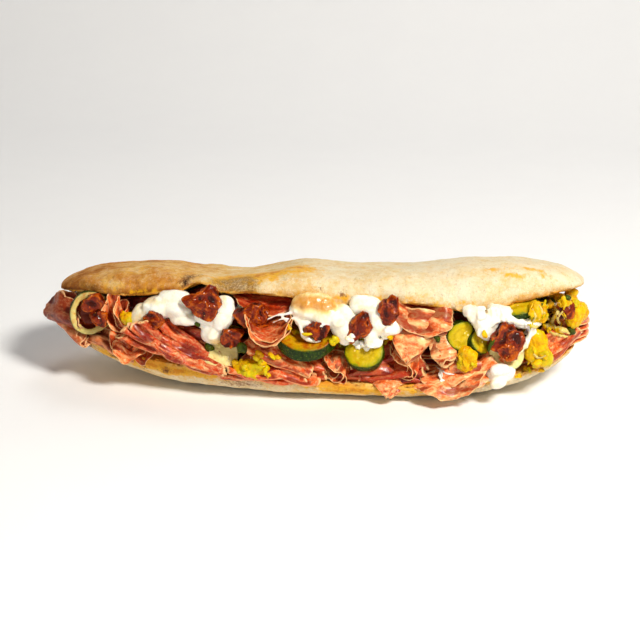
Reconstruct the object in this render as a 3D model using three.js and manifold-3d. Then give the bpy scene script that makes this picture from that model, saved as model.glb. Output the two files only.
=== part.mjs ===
// A filled panini: a long hearth-baked flat loaf cut through into two halves. The lower half
// lies on its base, the lid leans open towards the front, and the filling between them shows
// all round. Three layers run through the food: sliced salami at the bottom, courgette in the
// middle and fresh stretched-curd cream on top. Folded salami, cooked ham, courgette rounds,
// yellow courgette pieces, dried-tomato pieces and runs of cream stick out of the layers.
//
// Millimetres. +X runs along the loaf to the right, +Y to the back, +Z up. The origin is on the
// flat patch of the lower crust, under the middle of the loaf.
import * as THREE from "three";
import { mergeVertices } from "three/addons/utils/BufferGeometryUtils.js";
import Module from "manifold-3d";

const wasm = await Module();
wasm.setup();

// ---- Driving dimensions -------------------------------------------------------------------

const GAP = 0.3; // clearance kept between pieces that touch
const SLICE_THICKNESS = 1.5;
const SLICE_SPREAD = THREE.MathUtils.degToRad(7); // how far the leaves of a folded slice part
const FOLD_IN_FRONT = 0.42; // of a folded slice's radius, how much stands in front of its centre
const RUFFLE_AT_FOLD = 0.4; // the ruffle left at the fold, as a share of the ruffle at the rims
const MOST_DRAPE = THREE.MathUtils.degToRad(75);
const FOLD_CROWDING = 1.7; // how closely the steps along a slice crowd into its fold
const SLICE_STEPS = { across: 4, folded: 6, flat: 4 };
const RAGGED = [[3, 0.05], [7, 0.03]]; // a slice's edge: waves round it, and their share of its radius
const ROUND_WOBBLE = [[2, 0.05], [3, 0.03]]; // the same for a courgette round
const ROUND_EDGE = 1.6; // the slant of a courgette round's edge
const ROUND_SIDES = 11;
const LAYER_CLEAR = 0.8; // kept between a layer and the crowned cut faces

// Both halves are long rounded outlines; `round` is the power of the plan's superellipse.
const BASE = { halfLength: 152, halfDepth: 51.5, centreY: -1, round: 2.35 };
const LID = { halfLength: 155.5, halfDepth: 47.5, centreY: 2.5, round: 3 };
const LID_TILT = Math.tan(THREE.MathUtils.degToRad(13)); // the lid's front edge is lifted
const LID_HINGE_Y = -45; // where the lid's lip heights below are given
const CRUST_ROUND = 0.8; // 1 is an elliptical cross-section, lower is squarer

// Heights along the length: [x, height].
const BASE_LIP = curveThrough([
  [-152, 29], [-130, 25], [-100, 21], [-60, 17.5], [-20, 13.5], [30, 11.5], [85, 11.5],
  [115, 15.5], [135, 20], [152, 25],
]);
const BASE_UNDERSIDE = curveThrough([
  [-152, 17], [-125, 8], [-95, 1], [-60, -1.5], [0, -2], [95, -1.5], [125, 5], [152, 15],
]);
const LID_LIP = curveThrough([
  [-158, 59.5], [-137, 60.5], [-110, 60.3], [-89, 62.3], [-77, 64.5], [-65, 69], [-52, 64],
  [-36, 64.5], [-8, 62.5], [21, 58.7], [36, 60.3], [55, 61], [73, 58.8], [87, 56.7], [101, 58],
  [118, 62.8], [140, 68], [158, 72],
]);
const LID_RISE = curveThrough([
  [-158, 9], [-137, 13.5], [-110, 16.5], [-89, 14], [-77, 10], [-65, 4.5], [-52, 8.5], [-36, 9.5],
  [-8, 16.5], [21, 20], [36, 19], [55, 17.8], [73, 22.5], [87, 27.5], [101, 28], [118, 24],
  [140, 17], [150, 11], [158, 5],
]);
const BASE_INNER_RISE = 1.5; // the cut faces are slightly crowned
const LID_INNER_DROP = 2.5;

// The filling's nominal outline, which the pieces that show are set against.
const FACE = { halfLength: 166, halfDepth: 48, round: 2.4 };

// ---- Small helpers ------------------------------------------------------------------------

// A smooth curve through [x, value] knots.
function curveThrough(knots) {
  const slopes = knots.map((knot, i) => {
    const before = knots[Math.max(i - 1, 0)];
    const after = knots[Math.min(i + 1, knots.length - 1)];
    return (after[1] - before[1]) / (after[0] - before[0]);
  });
  return (x) => {
    let i = 0;
    while (i < knots.length - 2 && x > knots[i + 1][0]) i += 1;
    const [x0, v0] = knots[i];
    const [x1, v1] = knots[i + 1];
    const t = Math.min(Math.max((x - x0) / (x1 - x0), 0), 1);
    const rise = t * t * (3 - 2 * t);
    const ease = t * (1 - t);
    const bend = (x1 - x0) * ease * (slopes[i] * (1 - t) - slopes[i + 1] * t);
    return v0 + (v1 - v0) * rise + bend;
  };
}

const power = (t, exponent) => Math.sign(t) * Math.abs(t) ** exponent;

// Half the depth of an outline at x.
function outline(x, { halfLength, halfDepth, round }) {
  const t = Math.min(Math.abs(x / halfLength), 1);
  return halfDepth * (1 - t ** round) ** (1 / round);
}

const frontFace = (x) => -outline(x, FACE);

// Soft relief, between about -1 and 1, with bumps about `size` across.
function relief(x, y, z, size, seed) {
  const a = Math.sin(x / size + 1.7 * seed + 0.8 * Math.sin(y / size + seed));
  const b = Math.sin((y - 0.6 * z) / size + 2.3 * seed + 0.9 * Math.sin(x / size - seed));
  const c = Math.sin((z + 0.5 * x) / (0.7 * size) + 3.1 * seed);
  return (a + b + 0.7 * c) / 2.7;
}

// A wavy outline's radius at an angle, as a share of its mean radius.
function wavy(angle, waves, seed) {
  const wave = ([count, depth], i) => depth * Math.sin(count * angle + (i + 1) * seed);
  return waves.map(wave).reduce((sum, share) => sum + share, 1);
}

// Moves every vertex of a geometry to where `place` puts it.
function warp(geometry, place) {
  const position = geometry.getAttribute("position");
  const from = new THREE.Vector3();
  for (let i = 0; i < position.count; i += 1) {
    const to = place(from.fromBufferAttribute(position, i));
    position.setXYZ(i, to.x, to.y, to.z);
  }
  return geometry;
}

// Turns a piece's point by pitch, roll and yaw, about X, Y and Z in that order, and moves it to
// the piece's place: `out` in front of the filling's face, or behind the one at the back.
function placed({ x, z, out = 0, pitch = 0, roll = 0, yaw = 0, back = false }) {
  const turn = new THREE.Euler(...[pitch, roll, yaw].map((a) => THREE.MathUtils.degToRad(a)), "ZYX");
  const faceY = frontFace(x) - out;
  const centre = new THREE.Vector3(x, back ? -faceY : faceY, z);
  return (point) => point.applyEuler(turn).add(centre);
}

// A closed geometry as a solid whose faces point out.
function solid(geometry) {
  const bare = new THREE.BufferGeometry();
  bare.setAttribute("position", geometry.getAttribute("position"));
  bare.setIndex(geometry.index);
  const merged = mergeVertices(bare, 1e-3);
  const all = Array.from(merged.index.array);
  const kept = [];
  for (let i = 0; i < all.length; i += 3) {
    const [a, b, c] = all.slice(i, i + 3);
    if (a !== b && b !== c && c !== a) kept.push(a, b, c);
  }
  const vertProperties = new Float32Array(merged.getAttribute("position").array);
  const make = (corners) =>
    new wasm.Manifold(
      new wasm.Mesh({ numProp: 3, vertProperties, triVerts: new Uint32Array(corners) }),
    );
  const made = make(kept);
  return made.volume() > 0 ? made : make(kept.reverse());
}

// The largest body of a solid, so that scraps left by a cut are dropped.
function largest(made) {
  const bodies = made.decompose();
  return bodies.reduce((best, body) => (body.volume() > best.volume() ? body : best));
}

// ---- Bread and layers ---------------------------------------------------------------------

// A flat rounded body along X: a sphere with its poles at the two ends, whose rings are
// stretched to the plan outline in Y and to `rise` above and `drop` below `lip` in Z.
function loaf(spec, grow) {
  const { plan, lip, rise, drop, floor = -Infinity, blunt = 3, rings, sides, bumps = 0, seed = 1 } = spec;
  const grown = { ...plan, halfLength: plan.halfLength + grow, halfDepth: plan.halfDepth + grow };
  const sphere = new THREE.SphereGeometry(1, sides, rings).rotateZ(Math.PI / 2);
  return solid(
    warp(sphere, (d) => {
      const x = grown.halfLength * d.x;
      const around = Math.atan2(d.z, d.y);
      const y = plan.centreY + outline(x, grown) * power(Math.cos(around), CRUST_ROUND);
      const share = power(Math.sin(around), CRUST_ROUND);
      const taper = (1 - Math.abs(d.x) ** blunt) ** (1 / blunt);
      const height = share > 0 ? rise(x, y) + grow : drop(x, y) + grow;
      const bump = bumps * relief(x, y, 0, 11, seed) * share * taper;
      const z = lip(x, y) + height * share * taper + bump;
      return new THREE.Vector3(x, y, Math.max(z, floor - grow));
    }),
  );
}

const lidLip = (x, y) => LID_LIP(x) - (y - LID_HINGE_Y) * LID_TILT;

const breadBase = (grow = 0) =>
  loaf(
    {
      plan: BASE,
      lip: BASE_LIP,
      rise: () => BASE_INNER_RISE,
      drop: (x) => BASE_LIP(x) - BASE_UNDERSIDE(x),
      floor: 0,
      rings: 21,
      sides: 14,
      bumps: 0.5,
      seed: 2,
    },
    grow,
  );

const breadLid = (grow = 0) =>
  loaf(
    {
      plan: LID,
      lip: lidLip,
      rise: (x) => LID_RISE(x),
      drop: () => LID_INNER_DROP,
      blunt: 4.2,
      rings: 24,
      sides: 14,
      bumps: 1.1,
      seed: 5,
    },
    grow,
  );

// A layer fills the wedge between the halves from share `low` to share `high` of its height.
function layer({ low, high, inset, rings = 14, sides = 9, bumps, seed }, grow) {
  const plan = {
    halfLength: FACE.halfLength - inset,
    halfDepth: FACE.halfDepth - inset,
    centreY: 1,
    round: FACE.round,
  };
  const floorAt = (x) => BASE_LIP(x) + BASE_INNER_RISE + LAYER_CLEAR;
  const roofAt = (x, y) => lidLip(x, y) - LID_INNER_DROP - LAYER_CLEAR;
  const at = (x, y, share) => floorAt(x) + (roofAt(x, y) - floorAt(x)) * share;
  const half = (x, y) => (at(x, y, high) - at(x, y, low)) / 2;
  const middle = (x, y) => at(x, y, (low + high) / 2);
  return loaf({ plan, lip: middle, rise: half, drop: half, rings, sides, bumps, seed }, grow);
}

// ---- Slices -------------------------------------------------------------------------------

// A thin sheet: both faces take the same triangles of a plane, and a rim joins them.
function thinSolid(across, along, place) {
  const plane = new THREE.PlaneGeometry(2, 2, across, along);
  const flat = plane.getAttribute("position");
  const corners = plane.index.array;
  const count = flat.count;
  const points = [];
  for (const side of [1, -1]) {
    for (let i = 0; i < count; i += 1) points.push(...place(flat.getX(i), flat.getY(i), side));
  }
  const faces = [];
  for (let i = 0; i < corners.length; i += 3) {
    const [a, b, c] = corners.slice(i, i + 3);
    faces.push(a, b, c, c + count, b + count, a + count);
  }
  const row = across + 1;
  const rim = [];
  for (let j = 0; j < along; j += 1) rim.push(j * row);
  for (let i = 0; i < across; i += 1) rim.push(along * row + i);
  for (let j = along; j > 0; j -= 1) rim.push(j * row + across);
  for (let i = across; i > 0; i -= 1) rim.push(i);
  rim.forEach((p, i) => {
    const q = rim[(i + 1) % rim.length];
    faces.push(q, p, p + count, q, p + count, q + count);
  });
  const geometry = new THREE.BufferGeometry();
  geometry.setAttribute("position", new THREE.BufferAttribute(new Float32Array(points), 3));
  geometry.setIndex(faces);
  return solid(geometry);
}

// A round slice of meat, folded over once with its leaves lying one on the other, ruffled
// towards its rims and bent round the line that runs from the fold to the rims.
//   radius   of the flat slice           stretch  its width over its length
//   fold     radius of the fold, 0 for an unfolded slice
//   ruffle   height of the ruffles       waves    how many radians of ruffle a radius takes
//   bend     radius it is bent to along its width, 0 for none
//   drape    radius over which the part in front of the face hangs down, 0 for none
//   taper    how much wider the slice is at its rims than at its fold
//   rims     "in" points the fold at the viewer, "out" the rims
//   pitch, roll, yaw   degrees about X, Y and Z, in that order
function slice(spec, grow = 0) {
  const { radius, stretch = 1, fold = 2.4, ruffle = 0, waves = 4, bend = 0, drape = 0 } = spec;
  const { taper = 0, rims = "in", yaw = 0, seed = 1, back = false } = spec;
  const halfThick = SLICE_THICKNESS / 2 + grow;
  const reach = fold * (Math.PI / 2 - SLICE_SPREAD);
  const put = placed({ ...spec, yaw: yaw + (back ? 180 : 0) });
  const steps = fold ? SLICE_STEPS.folded : SLICE_STEPS.flat;
  return thinSolid(SLICE_STEPS.across, steps, (a, along, side) => {
    const b = fold ? power(along, FOLD_CROWDING) : along;
    const size = (radius + grow) * wavy(Math.atan2(b, a), RAGGED, seed);
    let u = a * Math.sqrt(1 - (b * b) / 2) * size * stretch;
    const l = b * Math.sqrt(1 - (a * a) / 2) * size;
    let m = l;
    let n = side * halfThick;
    if (fold) {
      const arc = Math.min(Math.abs(l), reach);
      const theta = arc / fold;
      const rest = Math.abs(l) - arc;
      const half = Math.sign(l) || 1;
      m = fold * (1 - Math.cos(theta)) + rest * Math.sin(theta) + side * halfThick * Math.cos(theta);
      n = half * (fold * Math.sin(theta) + rest * Math.cos(theta) - side * halfThick * Math.sin(theta));
    }
    const share = fold ? m / radius : (m / radius + 1) / 2;
    const phase = (waves * u) / (radius * stretch) + seed + 0.8 * share;
    n += ruffle * (RUFFLE_AT_FOLD + (1 - RUFFLE_AT_FOLD) * share) * Math.sin(phase);
    u *= 1 + taper * (share - 0.5);
    if (bend) {
      const swing = u / bend;
      u = (bend - n) * Math.sin(swing);
      n = bend - (bend - n) * Math.cos(swing);
    }
    if (fold) m -= FOLD_IN_FRONT * radius;
    if (rims === "out") m = -m;
    if (drape && m < 0) {
      const swing = Math.min(-m / drape, MOST_DRAPE);
      const hang = -m - swing * drape;
      m = -(drape + n) * Math.sin(swing) - hang * Math.cos(swing);
      n = (drape + n) * Math.cos(swing) - drape - hang * Math.sin(swing);
    }
    return put(new THREE.Vector3(u, m, n)).toArray();
  });
}

// ---- Pieces -------------------------------------------------------------------------------

// An uneven rounded piece. `size` is its width, depth and height.
function chunk(spec, grow = 0) {
  const { size, uneven = 0.14, sides = 8, rings = 5, seed = 1 } = spec;
  const put = placed(spec);
  return solid(
    warp(new THREE.SphereGeometry(1, sides, rings), (d) => {
      const f = 1 + uneven * lumps(d, seed);
      const [a, b, c] = size.map((side) => (f * side) / 2 + grow);
      return put(new THREE.Vector3(d.x * a, d.y * b, d.z * c));
    }),
  );
}

// How far a piece bulges in a direction, between about -1 and 1.
function lumps(d, seed) {
  const a = Math.sin(3.1 * d.x + seed) * Math.cos(2.7 * d.y + 1.9 * seed);
  const b = Math.sin(3.7 * d.z + 2.3 * seed + 1.4 * d.x);
  return 0.6 * a + 0.6 * b;
}

// A round cut from a courgette: a disc with rounded edges, bowed a little. It faces the viewer
// before it is turned.
function round(spec, grow = 0) {
  const { radius, thick = 6, bow = 2, squash = 1, seed = 1 } = spec;
  const put = placed(spec);
  const edge = ROUND_EDGE;
  const r = radius + grow;
  const h = thick / 2 + grow;
  const profile = [
    [0, -h], [r - edge, -h], [r, -h + edge], [r, h - edge], [r - edge, h], [0, h],
  ].map(([a, b]) => new THREE.Vector2(a, b));
  return solid(
    warp(new THREE.LatheGeometry(profile, ROUND_SIDES), (p) => {
      const wobble = wavy(Math.atan2(p.z, p.x), ROUND_WOBBLE, seed);
      const across = p.x * wobble;
      const up = p.z * wobble * squash;
      const depth = p.y + (bow * across * across) / (radius * radius);
      return put(new THREE.Vector3(across, depth, up));
    }),
  );
}

// A run of cream: soft drops strung along a path of [x, height, radius] points, one drop to
// each leg of the path.
function cream(spec, grow = 0) {
  const { path, out = 0, seed = 1, back = false } = spec;
  const drops = path.slice(1).map(([x2, z2, r2], i) => {
    const [x1, z1, r1] = path[i];
    const length = Math.hypot(x2 - x1, z2 - z1) + 0.8 * (r1 + r2);
    const roll = -THREE.MathUtils.radToDeg(Math.atan2(z2 - z1, x2 - x1));
    const size = [length, 1.1 * (r1 + r2), r1 + r2];
    const middle = { x: (x1 + x2) / 2, z: (z1 + z2) / 2, out, back };
    return chunk({ ...middle, size, uneven: 0.08, roll, seed: seed + i, sides: 7, rings: 4 }, grow);
  });
  return drops.reduce((whole, drop) => whole.add(drop));
}

// ---- The pieces, left to right ------------------------------------------------------------

const DRIED_TOMATO = [
  { x: -125.6, z: 44.6, out: 5, size: [11, 9, 11], seed: 1 },
  { x: -129, z: 51.6, out: 3, size: [16, 9, 12], roll: 8, seed: 2 },
  { x: -92.1, z: 47, out: 5, size: [12, 12, 13], seed: 3 },
  { x: -61.7, z: 58.2, out: 3, size: [21, 13, 19], roll: 15, seed: 4, sides: 9, rings: 6 },
  { x: -46.6, z: 39, out: 5, size: [16, 10, 11], roll: -15, seed: 5 },
  { x: -33.2, z: 50.5, out: 1, size: [21, 12, 17], seed: 6, sides: 9, rings: 6 },
  { x: 3.4, z: 45.6, out: 5, size: [15, 11, 12], seed: 7 },
  { x: 27.2, z: 48.2, out: 5, size: [12, 11, 19], roll: 28, seed: 8 },
  { x: 43.2, z: 57.6, out: 4, size: [12, 10, 18], roll: 20, seed: 9 },
  { x: 110.8, z: 39.5, out: 7, size: [21, 12, 19], roll: 30, seed: 10, sides: 9, rings: 6 },
  { x: 143.5, z: 54.7, out: 3, size: [11, 12, 13], roll: 15, seed: 11 },
  { x: -40, z: 30, out: 2, size: [19, 12, 13], seed: 12, back: true },
];

const COURGETTE_ROUND = [
  { x: -131.5, z: 45, out: 0, radius: 12.5, thick: 5, bow: 1, pitch: -4, yaw: 14, squash: 1.1, seed: 1 },
  { x: -53.9, z: 26.8, out: 0, radius: 11, pitch: -32, roll: 10, yaw: -8, seed: 2 },
  { x: -4.7, z: 36.9, out: -7, radius: 19.5, thick: 8.5, bow: -4.5, pitch: -74, roll: 4, seed: 4 },
  { x: 29.8, z: 31.8, out: -1, radius: 12, thick: 7, pitch: -40, roll: -6, seed: 5 },
  { x: 84, z: 41.5, out: 0, radius: 8.5, thick: 7, pitch: -12, yaw: 28, seed: 6 },
  { x: 95.7, z: 36.7, out: -1, radius: 8, thick: 6, pitch: -30, roll: 35, yaw: 34, seed: 7 },
  { x: 113.9, z: 56.8, out: -7, radius: 14, thick: 7, pitch: -70, roll: -6, yaw: 10, seed: 8 },
  { x: 111.1, z: 31.1, out: 2, radius: 10.5, thick: 6, pitch: -18, yaw: 14, seed: 9 },
];

const YELLOW_PIECE = [
  { x: -108.2, z: 45.3, out: 2, size: [9, 10, 9], uneven: 0.25, seed: 1 },
  { x: -35.4, z: 20.3, out: 5, size: [18, 9, 10], uneven: 0.28, roll: 10, seed: 2, sides: 9, rings: 5 },
  { x: 88.7, z: 29.3, out: 6, size: [13, 10, 13], uneven: 0.28, seed: 5 },
  { x: 127.6, z: 54.8, out: 3, size: [11, 12, 16], uneven: 0.22, roll: 15, seed: 6 },
  { x: 128.5, z: 32.3, out: 3, size: [17, 12, 22], uneven: 0.22, roll: -20, seed: 7, sides: 9, rings: 5 },
  { x: 149.9, z: 50, out: -1, size: [13, 14, 17], uneven: 0.18, seed: 8 },
];

const CREAM_RUN = [
  { path: [[-102.8, 42.4, 5], [-95.6, 51, 7.5], [-84.6, 53.4, 8], [-75, 53, 7]], out: -1, seed: 1 },
  { path: [[-66.5, 48.6, 5.5], [-51.5, 54, 7.5], [-54.5, 44, 7], [-58.5, 35.8, 5.5]], out: 1, seed: 5 },
  { path: [[-9, 55.8, 6], [2, 56, 8], [14.5, 51.5, 9], [19.5, 42, 7.5]], out: 0, seed: 9 },
  { path: [[24.7, 59.6, 5], [34.5, 56.4, 7], [37, 46.4, 8.5], [47.2, 47.4, 5.5]], out: -1, seed: 13 },
  { path: [[95.2, 52, 8], [99.3, 43.5, 5.5], [103.7, 54.9, 5], [123.4, 46.5, 5]], out: 0, seed: 17 },
  { path: [[102.1, 18.6, 6], [112.7, 20.1, 6]], out: 4.5, seed: 21 },
];

const HAM_SLICE = [
  {
    x: -149.5, z: 42.5, out: -3, radius: 18, pitch: 58, roll: -4, yaw: -42, ruffle: 2.5, waves: 3,
    seed: 1,
  },
  {
    x: -143, z: 32.9, out: -2, radius: 13.5, fold: 1.8, pitch: 18, roll: 20, yaw: -42, ruffle: 1.5,
    seed: 2,
  },
  {
    x: -118.8, z: 26, out: -5, radius: 16, fold: 1.8, pitch: 14, roll: 15, yaw: -22, ruffle: 1.5,
    seed: 3,
  },
];

const SALAMI_SLICE = [
  {
    x: -116.4, z: 45.3, out: 0, radius: 13, fold: 3, rims: "out", pitch: 8, roll: 66, yaw: -10,
    bend: 20, seed: 1,
  },
  {
    x: -82.4, z: 31.1, out: -3, radius: 34, fold: 3.2, pitch: 20, roll: 23, yaw: -4, ruffle: 3.4,
    waves: 3, bend: 120, seed: 2,
  },
  {
    x: -107.8, z: 28.7, out: 2, radius: 11, fold: 0, rims: "out", pitch: 42, roll: 20, yaw: -12,
    ruffle: 3, waves: 5, seed: 3,
  },
  { x: -72.5, z: 39.3, out: -6, radius: 12, fold: 0, pitch: 68, roll: -24, ruffle: 3, bend: 24, seed: 4 },
  { x: -24.7, z: 44.2, out: 0, radius: 19, fold: 0, bend: 14, pitch: 14, roll: -4, ruffle: 1, seed: 5 },
  { x: -19.1, z: 28.3, out: -1, radius: 21, fold: 2, pitch: 26, roll: 24, ruffle: 3, waves: 3, seed: 6 },
  { x: -23.1, z: 18, out: -3, radius: 27, pitch: 14, roll: 5, ruffle: 2.8, waves: 5, seed: 7 },
  {
    x: 13.7, z: 21.4, out: -7, radius: 17, stretch: 0.8, fold: 3.4, pitch: 12, roll: -12, yaw: 78,
    ruffle: 1.5, seed: 8,
  },
  { x: 40.7, z: 20.9, out: -7, radius: 24, pitch: 24, roll: -2, ruffle: 3, waves: 4, seed: 9 },
  {
    x: 43.4, z: 15.9, out: 1, radius: 13, stretch: 0.85, taper: -1.1, fold: 0, rims: "out",
    pitch: 14, bend: -14, drape: 9, seed: 10,
  },
  {
    x: 61.9, z: 52.8, out: -1, radius: 11, stretch: 1.75, fold: 0, pitch: 50, roll: 12, ruffle: 4.5,
    waves: 4, seed: 11,
  },
  {
    x: 56.2, z: 43.4, out: 3, radius: 16, stretch: 0.95, taper: 1.3, fold: 0, pitch: 68, roll: 10,
    bend: -18, ruffle: 2.5, waves: 3, seed: 12,
  },
  {
    x: 74.6, z: 37.2, out: 0, radius: 25, stretch: 0.3, taper: 0.9, fold: 1.8, rims: "out",
    pitch: 66, roll: -12, bend: -14, ruffle: 1, seed: 13,
  },
  {
    x: 53.1, z: 25.8, out: -7, radius: 20, stretch: 0.72, fold: 3.8, pitch: 10, roll: -12, yaw: 76,
    ruffle: 2, seed: 14,
  },
  {
    x: 91.4, z: 24.1, out: -2, radius: 18, fold: 3.4, pitch: 22, roll: -14, yaw: 8, ruffle: 4,
    waves: 4, seed: 15,
  },
  {
    x: 79.3, z: 16.5, out: 1, radius: 16, stretch: 1.4, fold: 0, rims: "out", pitch: 4, roll: -11,
    ruffle: 1.6, waves: 5, drape: 14, seed: 16,
  },
  {
    x: 139.3, z: 34, out: -4, radius: 15, fold: 3, pitch: 30, roll: -24, yaw: 36, ruffle: 3,
    waves: 4, seed: 17,
  },
  {
    x: -26.9, z: 58.4, out: -13, radius: 16, stretch: 1.3, fold: 0, pitch: 20, roll: 3, ruffle: 1.5,
    seed: 18,
  },
  { x: -70, z: 25, out: -8, radius: 24, pitch: 10, roll: -4, ruffle: 3, seed: 19, back: true },
  { x: 70, z: 19, out: -8, radius: 26, pitch: 10, roll: 3, ruffle: 3, seed: 20, back: true },
];

const LAYER = {
  salami_layer: { low: 0, high: 0.36, inset: 7, bumps: 1, seed: 3 },
  courgette_layer: { low: 0.38, high: 0.62, inset: 12, bumps: 1, seed: 4 },
  cream_layer: { low: 0.64, high: 1, inset: 15, bumps: 1.2, seed: 6 },
};

// ---- Looks and assembly -------------------------------------------------------------------

const looks = (color, roughness) => new THREE.MeshStandardMaterial({ color, roughness, metalness: 0 });
const CRUST = looks(0xe9cfa2, 0.85);
const TOMATO = looks(0x7e2412, 0.35);
const COURGETTE = looks(0x76862a, 0.5);
const YELLOW = looks(0xe0b818, 0.5);
const CREAM = looks(0xf4efe0, 0.35);
const SALAMI = looks(0xc9573a, 0.5);
const HAM = looks(0xd9968a, 0.5);

// Every kind of piece with the function that shapes it. Whatever comes first keeps its whole
// shape, and what comes later is cut back round it.
const kinds = [
  ["dried_tomato", DRIED_TOMATO, chunk, TOMATO],
  ["yellow_courgette", YELLOW_PIECE, chunk, YELLOW],
  ["courgette_round", COURGETTE_ROUND, round, COURGETTE],
  ["cream_run", CREAM_RUN, cream, CREAM],
  ["salami_slice", SALAMI_SLICE, slice, SALAMI],
  ["ham_slice", HAM_SLICE, slice, HAM],
];
const parts = [
  { name: "bread_base", shape: breadBase, material: CRUST },
  { name: "bread_lid", shape: breadLid, material: CRUST },
];
const layerLooks = { salami_layer: SALAMI, courgette_layer: COURGETTE, cream_layer: CREAM };
for (const [name, spec] of Object.entries(LAYER)) {
  parts.push({ name, shape: (grow) => layer(spec, grow), material: layerLooks[name] });
}
for (const [kind, list, shape, material] of kinds) {
  list.forEach((spec, i) => {
    parts.push({ name: `${kind}_${i + 1}`, shape: (grow) => shape(spec, grow), material });
  });
}

function meshOf(name, made, material) {
  const { vertProperties, triVerts, numProp } = made.getMesh();
  const geometry = new THREE.BufferGeometry();
  const buffer = new THREE.InterleavedBuffer(vertProperties, numProp);
  geometry.setAttribute("position", new THREE.InterleavedBufferAttribute(buffer, 3, 0));
  geometry.setIndex(Array.from(triVerts));
  const mesh = new THREE.Mesh(geometry, material);
  mesh.name = name;
  return mesh;
}

const panini = new THREE.Group();
const earlier = []; // every earlier piece, grown by the gap
for (const { name, shape, material } of parts) {
  const whole = shape(0);
  const cut = earlier.reduce((rest, other) => rest.subtract(other), whole);
  panini.add(meshOf(name, largest(cut), material));
  earlier.push(shape(GAP));
}

export default panini;
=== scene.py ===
"""A filled panini on a long hearth-baked loaf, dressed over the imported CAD.

Lengths are written in millimetres, in the part's own frame: +X along the loaf to the right,
+Y to the back, +Z up, with the origin on the flat patch under the loaf. Every CAD node is
replaced by a finer piece of the same form in the same place.
"""
import math

import bmesh
import bpy
import numpy as np
from mathutils import Euler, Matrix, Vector


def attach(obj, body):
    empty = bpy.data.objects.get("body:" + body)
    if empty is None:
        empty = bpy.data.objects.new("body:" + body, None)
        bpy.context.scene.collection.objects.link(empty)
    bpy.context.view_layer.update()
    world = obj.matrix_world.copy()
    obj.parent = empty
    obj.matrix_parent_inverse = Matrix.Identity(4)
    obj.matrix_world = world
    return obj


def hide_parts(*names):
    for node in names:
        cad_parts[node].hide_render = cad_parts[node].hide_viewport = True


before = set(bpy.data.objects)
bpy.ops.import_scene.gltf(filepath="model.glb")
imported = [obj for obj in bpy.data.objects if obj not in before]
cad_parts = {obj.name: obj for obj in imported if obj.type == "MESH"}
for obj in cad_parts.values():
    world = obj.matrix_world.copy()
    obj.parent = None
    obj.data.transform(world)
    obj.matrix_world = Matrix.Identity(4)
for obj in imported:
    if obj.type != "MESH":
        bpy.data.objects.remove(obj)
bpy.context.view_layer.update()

MM = 0.001
FULL_TURN = 2 * math.pi

# ---- Camera and light -----------------------------------------------------------------------

scene = bpy.context.scene
scene.view_settings.view_transform = "Standard"
MIDDLE = (0.0, 0.0, 0.0322)


def add_object(name, data):
    thing = bpy.data.objects.new(name, data)
    scene.collection.objects.link(thing)
    return thing


def aimed(thing, azimuth, elevation, distance):
    """Puts a lamp or camera round the middle, facing it: azimuth turns right, elevation goes up."""
    a, e = math.radians(azimuth), math.radians(elevation)
    out = Vector((math.sin(a) * math.cos(e), -math.cos(a) * math.cos(e), math.sin(e)))
    thing.location = Vector(MIDDLE) + out * distance
    thing.rotation_euler = (Vector(MIDDLE) - thing.location).to_track_quat("-Z", "Y").to_euler()
    return thing


def area_light(name, azimuth, elevation, distance, size, watts, colour):
    light = bpy.data.lights.new(name, "AREA")
    light.shape = "DISK"
    light.size = size
    light.energy = watts
    light.color = colour
    aimed(add_object(name, light), azimuth, elevation, distance)


lens = bpy.data.cameras.new("camera")
lens.sensor_width = 36.0
lens.lens = 100.0
camera = aimed(add_object("camera", lens), 5.0, 20.0, 1.0667)
scene.camera = camera

area_light("key", 42, 44, 1.3, 0.30, 19.0, (1.0, 0.96, 0.88))
area_light("fill", -30, 12, 1.5, 0.9, 3.0, (1.0, 0.93, 0.82))
area_light("rim", 170, 60, 1.3, 0.5, 2.5, (1.0, 0.98, 0.95))

world = bpy.data.worlds.new("studio")
world.use_nodes = True
background = world.node_tree.nodes["Background"]
background.inputs["Color"].default_value = (1.0, 0.96, 0.91, 1.0)
background.inputs["Strength"].default_value = 0.13
scene.world = world

# ---- Noise and curves -----------------------------------------------------------------------


def unit(vectors):
    return vectors / np.linalg.norm(vectors, axis=-1, keepdims=True)


_random = np.random.default_rng(11)
_table = _random.permutation(256)
_slopes = unit(_random.normal(size=(256, 3)))


def noise(points, size, seed=0.0):
    """Gradient noise, between about -1 and 1, with features `size` across."""
    q = np.asarray(points, float) / size + np.array([seed * 7.31, seed * 3.77, seed * 5.19])
    cell = np.floor(q).astype(int)
    f = q - cell
    ease = f * f * f * (f * (f * 6 - 15) + 10)
    total = np.zeros(q.shape[:-1])
    for corner in np.ndindex(2, 2, 2):
        i = cell + corner
        pick = _table[(_table[(_table[i[..., 0] & 255] + i[..., 1]) & 255] + i[..., 2]) & 255]
        weight = np.prod(np.where(corner, ease, 1 - ease), axis=-1)
        total += weight * np.sum(_slopes[pick] * (f - corner), axis=-1)
    return 1.6 * total


def layered_noise(points, size, octaves=3, seed=0.0):
    return sum(noise(points, size / 2**k, seed + 9.0 * k) / 2**k for k in range(octaves))


def ridges(points, size, seed=0.0):
    """Sharp creases with rounded valleys between them, from 0 to 1."""
    return 1 - np.abs(noise(points, size, seed))


def at_depth(flat_points, depth):
    """Flat points given a third coordinate, so that each layer has noise of its own."""
    return np.concatenate([flat_points, np.full((len(flat_points), 1), depth)], 1)


def step(low, high, value):
    t = np.clip((value - low) / (high - low), 0, 1)
    return t * t * (3 - 2 * t)


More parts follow.
